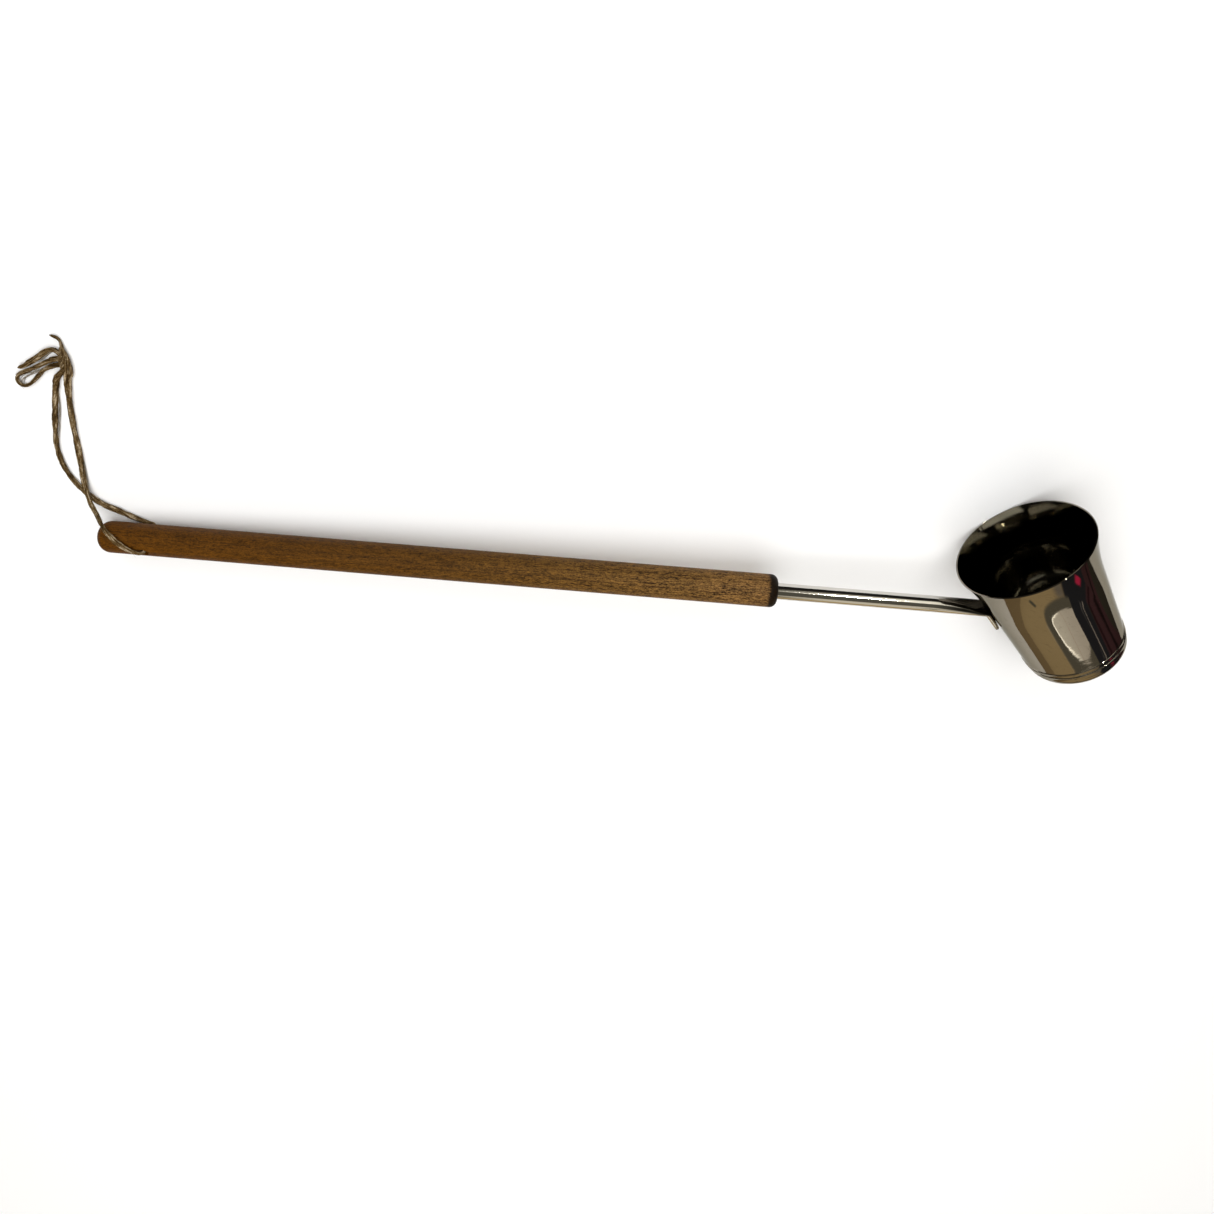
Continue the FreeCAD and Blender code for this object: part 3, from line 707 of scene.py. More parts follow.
def rounded_box(
    graph: Graph, x: Value, y: Value, half: tuple[float, float], rounding: float
) -> Wire:
    """How far a point is outside a rounded rectangle; inside, the distance is negative.

    Args:
        graph: The tree.
        x: The point's distance from the middle.
        y: Its other distance.
        half: Half the rectangle's sides.
        rounding: Its corners' radius.

    Returns:
        The distance.
    """
    aside = abs(x) - (half[0] - rounding)
    above = abs(y) - (half[1] - rounding)
    outer_x, outer_y = graph.math("MAXIMUM", aside, 0.0), graph.math("MAXIMUM", above, 0.0)
    corner = (outer_x * outer_x + outer_y * outer_y) ** 0.5
    inner = graph.math("MINIMUM", graph.math("MAXIMUM", aside, above), 0.0)
    return corner + inner - rounding


def paint(
    graph: Graph, azimuth: Wire, elevation: Value, screens: Sequence["Screen"], wall: Wire | Colour
) -> Wire | Colour:
    """The surroundings' colour in a direction.

    Args:
        graph: The tree.
        azimuth: The direction's azimuth, in degrees.
        elevation: Its elevation.
        screens: The patches, the last one on top.
        wall: The colour between them.

    Returns:
        The colour.
    """
    colour = wall
    for screen in screens:
        aside = abs(graph.math("WRAP", azimuth - screen.azimuth, 180.0, -180.0))
        inside = graph.smooth(aside, screen.width / 2 + screen.edge, screen.width / 2 - screen.edge)
        if isinstance(elevation, Wire):
            above = abs(elevation - screen.elevation)
            inside = inside * graph.smooth(
                above, screen.height / 2 + screen.edge, screen.height / 2 - screen.edge
            )
        elif abs(elevation - screen.elevation) > screen.height / 2:
            continue
        colour = graph.mix(inside, colour, screen.colour)
    return colour


# Meshes


def arc(
    centre: tuple[float, float], radius: float, start: float, end: float, count: int
) -> list[Vector]:
    """Points on an arc in the plane of a section, both ends included.

    Args:
        centre: Its middle.
        radius: Its radius.
        start: The first angle, in radians.
        end: The last angle.
        count: How many steps it has.

    Returns:
        The points, with the distance from the axis in x and the height in z.
    """
    angles = (start + (end - start) * step / count for step in range(count + 1))
    return [
        Vector((centre[0] + radius * math.cos(angle), 0.0, centre[1] + radius * math.sin(angle)))
        for angle in angles
    ]


def spin_section(section: Sequence[Vector], axis: Vector, steps: int) -> bmesh.types.BMesh:
    """Turn a section once round an axis through the origin.

    Args:
        section: The section's points, in order.
        axis: The axis.
        steps: How many steps the turn has.

    Returns:
        The closed skin.
    """
    bm = bmesh.new()
    verts = [bm.verts.new(point) for point in section]
    edges = [bm.edges.new(pair) for pair in zip(verts, verts[1:])]
    bmesh.ops.spin(
        bm,
        geom=verts + edges,
        cent=(0.0, 0.0, 0.0),
        axis=axis,
        dvec=(0.0, 0.0, 0.0),
        angle=math.tau,
        steps=steps,
        use_merge=True,
        use_duplicate=False,
    )
    bmesh.ops.remove_doubles(bm, verts=bm.verts, dist=1e-4)
    bmesh.ops.dissolve_degenerate(bm, edges=bm.edges, dist=1e-5)
    bmesh.ops.recalc_face_normals(bm, faces=bm.faces)
    return bm


def new_object(
    bm: bmesh.types.BMesh, name: str, material: bpy.types.Material | None = None
) -> bpy.types.Object:
    """Put a mesh in the scene.

    Args:
        bm: The mesh, which is freed.
        name: The object's name.
        material: Its finish.

    Returns:
        The object.
    """
    mesh = bpy.data.meshes.new(name)
    bm.to_mesh(mesh)
    bm.free()
    if material:
        mesh.materials.append(material)
    made = bpy.data.objects.new(name, mesh)
    bpy.context.scene.collection.objects.link(made)
    return made


def finish_piece(
    bm: bmesh.types.BMesh,
    name: str,
    place: Matrix,
    material: bpy.types.Material,
    crease: float,
) -> bpy.types.Object:
    """Put a mesh in its place and make it a piece that rides on the ladle.

    Args:
        bm: The mesh, in millimetres.
        name: The piece's name.
        place: Its place in the room, in millimetres.
        material: Its finish.
        crease: The angle, in degrees, past which an edge stays sharp.

    Returns:
        The piece.
    """
    bmesh.ops.transform(bm, matrix=TO_METRES @ place, verts=bm.verts)
    piece = new_object(bm, name, material)
    piece.data.shade_smooth()
    piece.data.set_sharp_from_angle(angle=math.radians(crease))
    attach(piece, BODY)
    log.info("%s: %d faces", name, len(piece.data.polygons))
    return piece


def apply_cut(bm: bmesh.types.BMesh, cutter: bmesh.types.BMesh) -> bmesh.types.BMesh:
    """Cut one closed skin out of another.

    Args:
        bm: What is cut.
        cutter: What is taken away.

    Returns:
        The skin that is left.
    """
    body, tool = new_object(bm, "cut_body"), new_object(cutter, "cut_tool")
    cut = body.modifiers.new("cut", "BOOLEAN")
    cut.operation, cut.solver, cut.object = "DIFFERENCE", "EXACT", tool
    shaped = body.evaluated_get(bpy.context.evaluated_depsgraph_get())
    result = bmesh.new()
    result.from_mesh(shaped.to_mesh())
    for done in (body, tool):
        mesh = done.data
        bpy.data.objects.remove(done)
        bpy.data.meshes.remove(mesh)
    return result


@dataclass
class Handle:
    """The turned beech handle, with the tube's bore and the twine's cross hole (mm)."""

    length: float = 336.3
    radius: float = 8.0
    far_rounding: float = 5.5
    near_rounding: float = 3.5
    bore_radius: float = 4.05
    bore_depth: float = 36.5
    hole_from_end: float = 24.5
    hole_radius: float = 2.3
    hole_turn: float = 70.0
    hole_easing: float = 0.6
    by_hole: tuple[float, ...] = (-9, -6, -4.5, -3, -1.5, 0, 1.5, 3, 4.5, 6, 9)
    bore_mouth: float = 0.4
    side_start: float = 40.0
    side_step: float = 12.0
    around: int = 96

    def outline(self) -> list[Vector]:
        """Draw the section.

        Returns:
            The far end, the side, the near end and the bore, with x along the axis and z across.
        """
        quarter = math.pi / 2
        far_middle = (self.far_rounding, self.radius - self.far_rounding)
        far = arc(far_middle, self.far_rounding, 2 * quarter, quarter, 14)
        side_end = self.length - self.near_rounding
        near_middle = (side_end, self.radius - self.near_rounding)
        near = arc(near_middle, self.near_rounding, quarter, 0.0, 12)
        stations = [self.hole_from_end + offset for offset in self.by_hole]
        stations += [self.side_start + self.side_step * step for step in range(25)]
        side = [Vector((x, 0.0, self.radius)) for x in stations if x < side_end - 1]
        bore = [
            Vector((self.length, 0.0, self.bore_radius + self.bore_mouth)),
            Vector((self.length - self.bore_mouth, 0.0, self.bore_radius)),
            Vector((self.length - self.bore_depth, 0.0, self.bore_radius)),
            Vector((self.length - self.bore_depth, 0.0, 0.0)),
        ]
        return [Vector((0.0, 0.0, 0.0)), *far, *side, *near, *bore]

    def hole_cutter(self) -> bmesh.types.BMesh:
        """Shape the twine's hole.

        Returns:
            A round bore with eased mouths, across the handle.
        """
        reach = self.radius + 1.5
        ease_start = self.radius - 0.9
        flare = [
            Vector((self.hole_radius + self.hole_easing * share**2, 0.0, ease_start + 1.5 * share))
            for share in (0.25, 0.5, 0.75, 1.0)
        ]
        top = [Vector((self.hole_radius, 0.0, ease_start)), *flare]
        top.append(Vector((self.hole_radius + self.hole_easing + 0.5, 0.0, reach)))
        bottom = [Vector((point.x, 0.0, -point.z)) for point in reversed(top)]
        section = [Vector((0.0, 0.0, -reach)), *bottom, *top, Vector((0.0, 0.0, reach))]
        bm = spin_section(section, Vector((0, 0, 1)), 40)
        turn = Matrix.Rotation(math.radians(-self.hole_turn), 4, "X")
        moved = Matrix.Translation((self.hole_from_end, 0, 0))
        bmesh.ops.transform(bm, matrix=moved @ turn, verts=bm.verts)
        return bm

    def build(self, finish: bpy.types.Material) -> bpy.types.Object:
        """Turn the handle and drill the twine hole.

        Args:
            finish: Its material.

        Returns:
            The handle.
        """
        dowel = spin_section(self.outline(), Vector((1, 0, 0)), self.around)
        drilled = apply_cut(dowel, self.hole_cutter())
        piece = finish_piece(drilled, "beech_handle", LYING, finish, 38.0)
        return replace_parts(piece, "handle")


@dataclass
class Stem:
    """The steel tube, pressed to a flat tongue whose tab lies along the cup's wall (mm)."""

    handle_length: float = 336.3
    in_handle: float = 35.0
    diameter: float = 8.0
    wall: float = 1.0
    reach: float = 99.6
    press_length: float = 23.0
    tongue: float = 2.0
    flat_run: float = 1.0
    bend_radius: float = 1.5
    tab: float = 9.0
    weld_gap: float = 0.05
    tip_depth: float = 0.8
    mouth_depth: float = 60.0
    press_steps: int = 28
    bend_steps: int = 12
    lean: float = math.radians(36.55 + 4.2)
    around: int = 72

    def ring_point(self, share: float, thickness: float) -> tuple[float, float]:
        """A point of a pressed section, whose girth stays the tube's own.

        Args:
            share: How far round, from the middle of the upper flat.
            thickness: The section's thickness.

        Returns:
            How far across and how far up it is.
        """
        half_flat = math.pi * (self.diameter - thickness) / 4
        radius = thickness / 2
        girth = math.pi * self.diameter
        run = (share % 1.0) * girth
        side = math.pi * radius
        if run < half_flat:
            return run, radius
        run -= half_flat
        if run < side:
            angle = math.pi / 2 - run / radius
            return half_flat + radius * math.cos(angle), radius * math.sin(angle)
        run -= side
        if run < 2 * half_flat:
            return half_flat - run, -radius
        run -= 2 * half_flat
        if run < side:
            angle = -math.pi / 2 - run / radius
            return -half_flat + radius * math.cos(angle), radius * math.sin(angle)
        return run - side - half_flat, radius

    def stations(self) -> list[tuple[Vector, float, float]]:
        """Lay out the tube's middle line, from inside the handle to the tab's tip.

        Returns:
            Its points, each with its downward turn and the section's thickness.
        """
        mid_radius = self.bend_radius + self.tongue / 2
        bend = math.pi / 2 - self.lean
        corner = self.handle_length + self.reach
        corner -= (self.weld_gap + self.tongue / 2) / math.cos(self.lean)
        tangent = mid_radius * math.tan(bend / 2)
        press_end = corner - tangent - self.flat_run
        press_start = press_end - self.press_length
        start = self.handle_length - self.in_handle
        found = [
            (Vector((start + (press_start - start) * step / 8, 0, 0)), 0.0, self.diameter)
            for step in range(9)
        ]
        for step in range(1, self.press_steps + 1):
            share = step / self.press_steps
            closed = self.diameter - (self.diameter - self.tongue) * share**2
            found.append((Vector((press_start + self.press_length * share, 0, 0)), 0.0, closed))
        bend_start = Vector((corner - tangent, 0, 0))
        for step in range(self.bend_steps + 1):
            angle = bend * step / self.bend_steps
            turn = Vector((math.sin(angle), 0, math.cos(angle) - 1)) * mid_radius
            found.append((bend_start + turn, angle, self.tongue))
        down = Vector((math.cos(bend), 0, -math.sin(bend)))
        last = found[-1][0]
        for length in (3.0, 6.0, self.tab - 0.35):
            found.append((last + down * length, bend, self.tongue))
        found.append((last + down * (self.tab - 0.1), bend, self.tongue - 0.22))
        found.append((last + down * self.tab, bend, self.tongue - 0.55))
        return found

    def build(self, finish: bpy.types.Material) -> bpy.types.Object:
        """Draw the tube's ring along its stations.

        Args:
            finish: Its material.

        Returns:
            The stem.
        """
        bm = bmesh.new()
        ring = bmesh.ops.create_circle(
            bm, cap_ends=False, radius=self.diameter / 2, segments=self.around
        )["verts"]
        first_ring = list(ring)
        edges = list(bm.edges)
        for number, (middle, turn, thickness) in enumerate(self.stations()):
            if number:
                grown = bmesh.ops.extrude_edge_only(bm, edges=edges)["geom"]
                fresh = {v for v in grown if isinstance(v, bmesh.types.BMVert)}
                edges = [
                    e for e in grown if isinstance(e, bmesh.types.BMEdge) and set(e.verts) <= fresh
                ]
                ring = self.follow(ring, fresh)
            rolled = Matrix.Translation(middle) @ Matrix.Rotation(turn, 4, "Y")
            for index, vert in enumerate(ring):
                across, up = self.ring_point(index / self.around, thickness)
                vert.co = rolled @ Vector((0.0, across, up))
        tip = bmesh.ops.edgeloop_fill(bm, edges=edges)["faces"]
        bmesh.ops.inset_region(bm, faces=tip, thickness=0.55, use_even_offset=True)
        down = Vector((math.cos(math.pi / 2 - self.lean), 0, -math.sin(math.pi / 2 - self.lean)))
        self.push_in(bm, tip, -self.tip_depth * down)
        open_end = [e for e in bm.edges if e.is_boundary and set(e.verts) <= set(first_ring)]
        mouth = bmesh.ops.edgeloop_fill(bm, edges=open_end)["faces"]
        bmesh.ops.inset_region(bm, faces=mouth, thickness=self.wall, use_even_offset=True)
        self.push_in(bm, mouth, Vector((self.mouth_depth, 0, 0)))
        bmesh.ops.recalc_face_normals(bm, faces=bm.faces)
        piece = finish_piece(bm, "steel_stem", LYING, finish, 50.0)
        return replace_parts(piece, "stem")

    @staticmethod
    def push_in(bm: bmesh.types.BMesh, faces: list[bmesh.types.BMFace], shift: Vector) -> None:
        """Extrude faces into the tube and take the old ones away.

        Args:
            bm: The tube.
            faces: The faces.
            shift: How far they go.
        """
        grown = bmesh.ops.extrude_face_region(bm, geom=faces)["geom"]
        verts = [v for v in grown if isinstance(v, bmesh.types.BMVert)]
        bmesh.ops.translate(bm, vec=shift, verts=verts)
        bmesh.ops.delete(bm, geom=faces, context="FACES")

    @staticmethod
    def follow(ring: Sequence[bmesh.types.BMVert], fresh: set) -> list[bmesh.types.BMVert]:
        """The new ring's points in the order of the last one's.

        Args:
            ring: The last ring.
            fresh: The new points.

        Returns:
            The new ring.
        """
        return [
            next(e.other_vert(v) for e in v.link_edges if e.other_vert(v) in fresh) for v in ring
        ]


@dataclass
class Cup:
    """The drawn steel cup: a tapered wall, a flared mouth, two fine beads, a round edge (mm)."""

    height: float = 73.2
    rim_radius: float = 30.65
    base_radius: float = 22.65
    taper: float = math.radians(4.2)
    flare_start: float = 48.0
    edge_radius: float = 6.6
    sheet: float = 0.7
    tilt: float = math.radians(36.55)
    tube_height: float = 47.1
    tube_end: float = 336.3 + 99.6
    bead_radius: float = 0.45
    bead_proud: float = 0.25
    beads: tuple[float, float] = (8.4, 11.1)
    bead_foot: float = 0.62
    bead_share: float = 0.86
    wall_stations: tuple[float, ...] = (14, 20, 26, 32, 38, 43)
    around: int = 192

    def place(self) -> Matrix:
        """Set the cup against the tube's end.

        Returns:
            Its place in the ladle's frame.
        """
        axis = Vector((-math.sin(self.tilt), 0, math.cos(self.tilt)))
        side = Vector((math.cos(self.tilt), 0, math.sin(self.tilt)))
        wall = self.base_radius + math.tan(self.taper) * self.tube_height
        foot = Vector((self.tube_end, 0, 0)) - axis * self.tube_height + side * wall
        return Matrix.Translation(foot) @ Matrix.Rotation(-self.tilt, 4, "Y")

    def bead(self, height: float) -> list[Vector]:
        """One bead's arc on the outer wall, from its foot upwards.

        Args:
            height: How high it is.

        Returns:
            Its points, with a softened foot on each side.
        """
        slope = math.tan(self.taper)
        wall = self.base_radius + slope * height
        middle = wall + self.bead_proud - self.bead_radius
        spread = math.acos((self.bead_radius - self.bead_proud) / self.bead_radius)
        spread *= self.bead_share
        crown = arc(
            (middle, height), self.bead_radius, -spread + self.taper, spread + self.taper, 8
        )
        foot = Vector((wall - slope * self.bead_foot, 0, height - self.bead_foot))
        head = Vector((wall + slope * self.bead_foot, 0, height + self.bead_foot))
        return [foot, *crown, head]

    def section(self) -> list[Vector]:
        """Draw half the sheet's section.

        Returns:
            Its points, from the outer base round the lip to the inner base.
        """
        out = Vector((math.cos(self.taper), 0, -math.sin(self.taper)))
        half = self.sheet / 2
        ring = self.edge_radius * (1 - math.sin(self.taper)) / math.cos(self.taper)
        ring = self.base_radius - ring
        flare_foot = self.on_wall(self.flare_start)
        lip = Vector((self.rim_radius - half, 0, self.height - half))
        chord = lip - flare_foot
        flare = (chord.dot(chord) - half**2) / (2 * chord.dot(out) + self.sheet)
        middle = flare_foot + out * flare
        inwards = lip - middle
        lip_angle = math.atan2(inwards.z, inwards.x)
        foot_angle = math.pi - self.taper
        centre = (middle.x, middle.z)
        quarter = math.pi / 2
        points = [Vector((0, 0, 0)), Vector((ring * 0.5, 0, 0))]
        points += arc((ring, self.edge_radius), self.edge_radius, -quarter, -self.taper, 14)
        for height in self.beads:
            points += self.bead(height)
        points += [self.on_wall(height) for height in self.wall_stations]
        points += arc(centre, flare, foot_angle, lip_angle, 18)
        points += arc((lip.x, lip.z), half, lip_angle - math.pi, lip_angle - 2 * math.pi, 10)[1:-1]
        points += arc(centre, flare + self.sheet, lip_angle, foot_angle, 18)
        inner = (*reversed(self.wall_stations), 10)
        points += [self.on_wall(height, self.sheet) for height in inner]
        inner_edge = self.edge_radius - self.sheet
        points += arc((ring, self.edge_radius), inner_edge, -self.taper, -quarter, 12)
        points += [Vector((ring * 0.5, 0, self.sheet)), Vector((0, 0, self.sheet))]
        return points

    def on_wall(self, height: float, inset: float = 0.0) -> Vector:
        """A point on the tapered wall.

        Args:
            height: Its height.
            inset: How far inside the outer face it lies.

        Returns:
            The point.
        """
        radius = self.base_radius + math.tan(self.taper) * height
        return Vector((radius - inset / math.cos(self.taper), 0, height))

    def build(self, outside: bpy.types.Material, inside: bpy.types.Material) -> bpy.types.Object:
        """Spin the cup.

        Args:
            outside: The finish of its outer wall and lip.
            inside: The finish of its inner wall and floor.

        Returns:
            The cup.
        """
        bm = spin_section(self.section(), Vector((0, 0, 1)), self.around)
        bm.normal_update()
        for face in bm.faces:
            middle = face.calc_center_median()
            inwards = face.normal.dot(Vector((middle.x, middle.y, 0))) < 0
            on_base = face.normal.z > 0.7 and middle.z < 1.0
            face.material_index = int((inwards and middle.z < self.height - self.sheet) or on_base)
        piece = finish_piece(bm, "steel_cup", LYING @ self.place(), outside, 60.0)
        piece.data.materials.append(inside)
        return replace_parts(piece, "cup")


# Twine


def at_hole(*offsets: tuple[float, float, float]) -> list[Vector]:
    """Route points near the handle, measured from the middle of the twine hole (mm)."""
    return [TWINE_HOLE + Vector(offset) for offset in offsets]


def on_floor(*offsets: tuple[float, float, float]) -> list[Vector]:
    """Route points whose height is from the floor, beside the twine hole's middle (mm)."""
    return [Vector((TWINE_HOLE.x + x, TWINE_HOLE.y + y, z)) for x, y, z in offsets]


def spline_points(route: Sequence[Vector], spacing: float) -> list[Vector]:
    """Even points on the smooth line that a route's points control.

    Args:
        route: The route's points, in millimetres.
        spacing: How far apart the even points are.

    Returns:
        The even points.
    """
    data = bpy.data.curves.new("route", "CURVE")
    data.dimensions = "3D"
    data.resolution_u = 24
    spline = data.splines.new("NURBS")
    spline.points.add(len(route) - 1)
    for target, point in zip(spline.points, route):
        target.co = (*point, 1.0)
    spline.order_u = 3
    spline.use_endpoint_u = True
    holder = bpy.data.objects.new("route", data)
    mesh = bpy.data.meshes.new_from_object(holder)
    line = [vert.co.copy() for vert in mesh.vertices]
    bpy.data.objects.remove(holder)
    bpy.data.curves.remove(data)
    bpy.data.meshes.remove(mesh)

    total = sum((b - a).length for a, b in zip(line, line[1:]))
    count = max(2, round(total / spacing))
    step = total / count
    even, travelled, index = [line[0]], 0.0, 0
    for number in range(1, count):
        goal = number * step
        while travelled + (line[index + 1] - line[index]).length < goal:
            travelled += (line[index + 1] - line[index]).length
            index += 1
        run = line[index + 1] - line[index]
        even.append(line[index] + run * ((goal - travelled) / run.length))
    even.append(line[-1])
    return even


def across_at(angle: float) -> Vector:
    """The direction at an angle in a cross section."""
    return Vector((math.cos(angle), math.sin(angle), 0))


def frames_along(line: Sequence[Vector]) -> list[Matrix]:
    """Untwisted frames on a line: columns across, up and ahead.

    Args:
        line: Even points.

    Returns:
        One frame for each point.
    """
    ahead = [(b - a).normalized() for a, b in zip(line, line[1:])]
    ahead.append(ahead[-1])
    side = ahead[0].orthogonal().normalized()
    frames = []
    for number, way in enumerate(ahead):
        if number:
            side = ahead[number - 1].rotation_difference(way) @ side
        side = (side - way * side.dot(way)).normalized()
        frames.append(Matrix((side, way.cross(side), way)).transposed())
    return frames


def rest_on_floor(bm: bmesh.types.BMesh) -> None:
    """Flatten a twine's skin where it would go below the floor, and turn its faces outwards.

    Args:
        bm: The twine's mesh, in millimetres.
    """
    for vert in bm.verts:
        vert.co.z = max(vert.co.z, 0.02)
    bmesh.ops.recalc_face_normals(bm, faces=bm.faces)


@dataclass
class Ply:
    """One strand that is swept along a line, with its own UV map in millimetres."""

    line: list[Vector]
    radii: list[float]
    turns: list[float]
    flat: float = 0.90
    sides: int = 20
    seed: int = 1
    lumps: float = 0.16

    def sweep(self, bm: bmesh.types.BMesh, layer_offset: float = 0.0) -> None:
        """Add the strand to a mesh: a grid is rolled round the line and closed.

        Args:
            bm: The mesh.
            layer_offset: A shift of the UV map, so that strands differ.
        """
        uv = bm.loops.layers.uv.get("ply") or bm.loops.layers.uv.new("ply")
        rings = len(self.line)
        grid = bmesh.ops.create_grid(
            bm, x_segments=self.sides, y_segments=rings - 1, size=1.0
        )["verts"]
        frames = frames_along(self.line)
        across = self.sides + 1
        place = {}
        for number, vert in enumerate(grid):
            ring, step = divmod(number, across)
            angle = math.tau * (step % self.sides) / self.sides
            radius = self.radii[ring]
            way = across_at(angle)
            lump = noise.noise(Vector((ring * 0.035, way.x * 2.1, way.y * 2.1 + self.seed)))
            lump += 0.6 * noise.noise(Vector((ring * 0.10, way.x * 4.2, way.y * 4.2 + self.seed)))
            spoke = Vector((way.x, way.y * self.flat, 0)) * radius * (1 + self.lumps * lump)
            spoke.rotate(Matrix.Rotation(self.turns[ring], 3, "Z"))
            vert.co = self.line[ring] + frames[ring] @ spoke
            place[vert] = (ring, step)
        spacing = (self.line[1] - self.line[0]).length
        faces = {face for vert in grid for face in vert.link_faces}
        for face in faces:
            for loop in face.loops:
                ring, step = place[loop.vert]
                loop[uv].uv = (ring * spacing + layer_offset, step / self.sides + self.seed)
        bmesh.ops.remove_doubles(bm, verts=grid, dist=1e-5)
        ends = [edge for edge in bm.edges if edge.is_boundary]
        bmesh.ops.holes_fill(bm, edges=ends, sides=self.sides + 1)


@dataclass
class Wisp:
    """Loose fibres beside a cord, from one share of its length to another (mm)."""

    start: float
    end: float
    aside: tuple[float, float]
    count: int = 5
    radius: float = 0.10
    spread: float = 0.35


@dataclass
class Cord:
    """A length of two-ply jute twine on a route (mm)."""

    name: str
    route: list[Vector]
    diameter: float
    pitch: float = 26.0
    phase: float = 0.0
    spread: float = 0.28
    spacing: float = 0.35
    seed: int = 1
    sway: float = 0.6
    flat: float = 0.88
    swell: tuple[float, ...] = (1.0, 1.0)
    split: float = 0.0
    wisps: tuple[Wisp, ...] = ()
    line: list[Vector] = field(default_factory=list)

    def build(self, finish: bpy.types.Material, pale: bpy.types.Material) -> bpy.types.Object:
        """Lay the two plies round the route's line.

        Args:
            finish: The jute.
            pale: The jute of the loose fibres beside it.

        Returns:
            The twine.
        """
        self.line = spline_points(self.route, self.spacing)
        bm = bmesh.new()
        self.lay_plies(bm)
        self.add_fuzz(bm)
        thick = len(bm.faces)
        for number, wisp in enumerate(self.wisps):
            self.add_wisp(bm, wisp, number)
        bm.faces.ensure_lookup_table()
        for face in bm.faces[thick:]:
            face.material_index = 1
        rest_on_floor(bm)
        piece = finish_piece(bm, self.name, Matrix.Identity(4), finish, 75.0)
        if self.wisps:
            piece.data.materials.append(pale)
        return piece

    def lay_plies(self, bm: bmesh.types.BMesh) -> None:
        """Sweep both plies.

        Args:
            bm: The twine's mesh.
        """
        frames = frames_along(self.line)
        count = len(self.line)
        radius = self.diameter / 2
        for ply in range(2):
            centres, radii, turns = [], [], []
            for number, (point, frame) in enumerate(zip(self.line, frames)):
                along = number * self.spacing
                share = number / (count - 1)
                sway = noise.noise(Vector((along * 0.07, self.seed * 3.1, ply)))
                angle = math.tau * along / self.pitch + self.phase + math.pi * ply
                angle += sway * self.sway
                size = 1.0 + 0.12 * noise.noise(Vector((along * 0.16, self.seed, ply * 7.0)))
                size *= self.width_at(share)
                end = min(number, count - 1 - number)
                close = min(1.0, 0.45 + 0.20 * end)
                opened = self.spread + self.split * max(0.0, (share - 0.45) / 0.55) ** 2
                offset = across_at(angle) * radius * opened * self.width_at(share)
                centre = point + frame @ offset
                centre.z = max(centre.z, radius * 0.55)
                centres.append(centre)
                radii.append(radius * (1 - self.spread + 0.08) * size * close)
                turns.append(angle + math.pi / 2)
            if self.split and ply:
                cut = int(count * 0.86)
                centres, radii, turns = centres[:cut], radii[:cut], turns[:cut]
                radii[-3:] = [radii[-3] * 0.9, radii[-3] * 0.7, radii[-3] * 0.4]
            strand = Ply(centres, radii, turns, flat=self.flat, seed=self.seed * 2 + ply)
            strand.sweep(bm, 37.0 * ply)

    def width_at(self, share: float) -> float:
        """How much thicker or thinner the twine is in a place.

        Args:
            share: The place, as a share of its length.

        Returns:
            The factor.
        """
        place = share * (len(self.swell) - 1)
        index = min(int(place), len(self.swell) - 2)
        part = place - index
        return self.swell[index] * (1 - part) + self.swell[index + 1] * part

    def add_fuzz(self, bm: bmesh.types.BMesh, per_mm: float = 0.55, reach: float = 2.8) -> None:
        """Add short loose fibres that stand off the twine.

        Args:
            bm: The twine's mesh.
            per_mm: How many there are.
            reach: How long the longest is.
        """
        draw = Random(self.seed * 17)
        frames = frames_along(self.line)
        count = len(self.line)
        for _ in range(int(per_mm * count * self.spacing)):
            index = draw.randrange(4, count - 4)
            angle = draw.uniform(0, math.tau)
            out = frames[index] @ across_at(angle)
            ahead = frames[index] @ Vector((0, 0, draw.choice((-1, 1))))
            side = out.cross(ahead)
            length = draw.uniform(0.8, reach)
            bend = draw.uniform(-0.6, 0.6)
            lift = draw.uniform(0.12, 0.45)
            start = self.line[index] + out * self.diameter * 0.36
            points = []
            for step in range(6):
                share = step / 5
                away = ahead * share + out * (lift * share) + side * (bend * share**2)
                points.append(start + away * length)
            lowest = min(point.z for point in points)
            if lowest < 0.08:
                continue
            thin = [0.06 * (1 - 0.6 * step / 5) for step in range(6)]
            Ply(points, thin, [0.0] * 6, sides=3, seed=index).sweep(bm, draw.uniform(0, 90))

    def add_wisp(self, bm: bmesh.types.BMesh, wisp: Wisp, number: int) -> None:
        """Add a bundle of loose fibres that runs beside the twine.

        Args:
            bm: The twine's mesh.
            wisp: Where it runs.
            number: Its number on this cord.
        """
        draw = Random(self.seed * 31 + number)
        count = len(self.line)
        for fibre in range(wisp.count):
            first = int(count * min(0.97, max(0.0, wisp.start + draw.uniform(-0.02, 0.05))))
            last = int(count * min(0.99, max(0.02, wisp.end + draw.uniform(-0.06, 0.03))))
            stray = Vector((draw.uniform(-1, 1), draw.uniform(-1, 1), 0)) * wisp.spread
            phase = draw.uniform(0, 9)
            points, radii = [], []
            for index in range(first, last, 4):
                share = (index - first) / max(1, last - first)
                swing = math.sin(math.pi * share)
                wave = noise.noise(Vector((share * 2.2 + phase, fibre, number))) * 0.5
                aside = Vector((wisp.aside[0], wisp.aside[1], 0)) * swing + stray * (swing + wave)
                point = self.line[index] + aside
                point.z = max(0.15, point.z * (1 - 0.5 * swing) + wave * 0.3)
                points.append(point)
                radii.append(wisp.radius * (0.4 + 0.8 * swing))
            if len(points) > 4:
                strand = Ply(points, radii, [0.0] * len(points), sides=4, seed=fibre + 40)
                strand.sweep(bm, draw.uniform(0, 90))


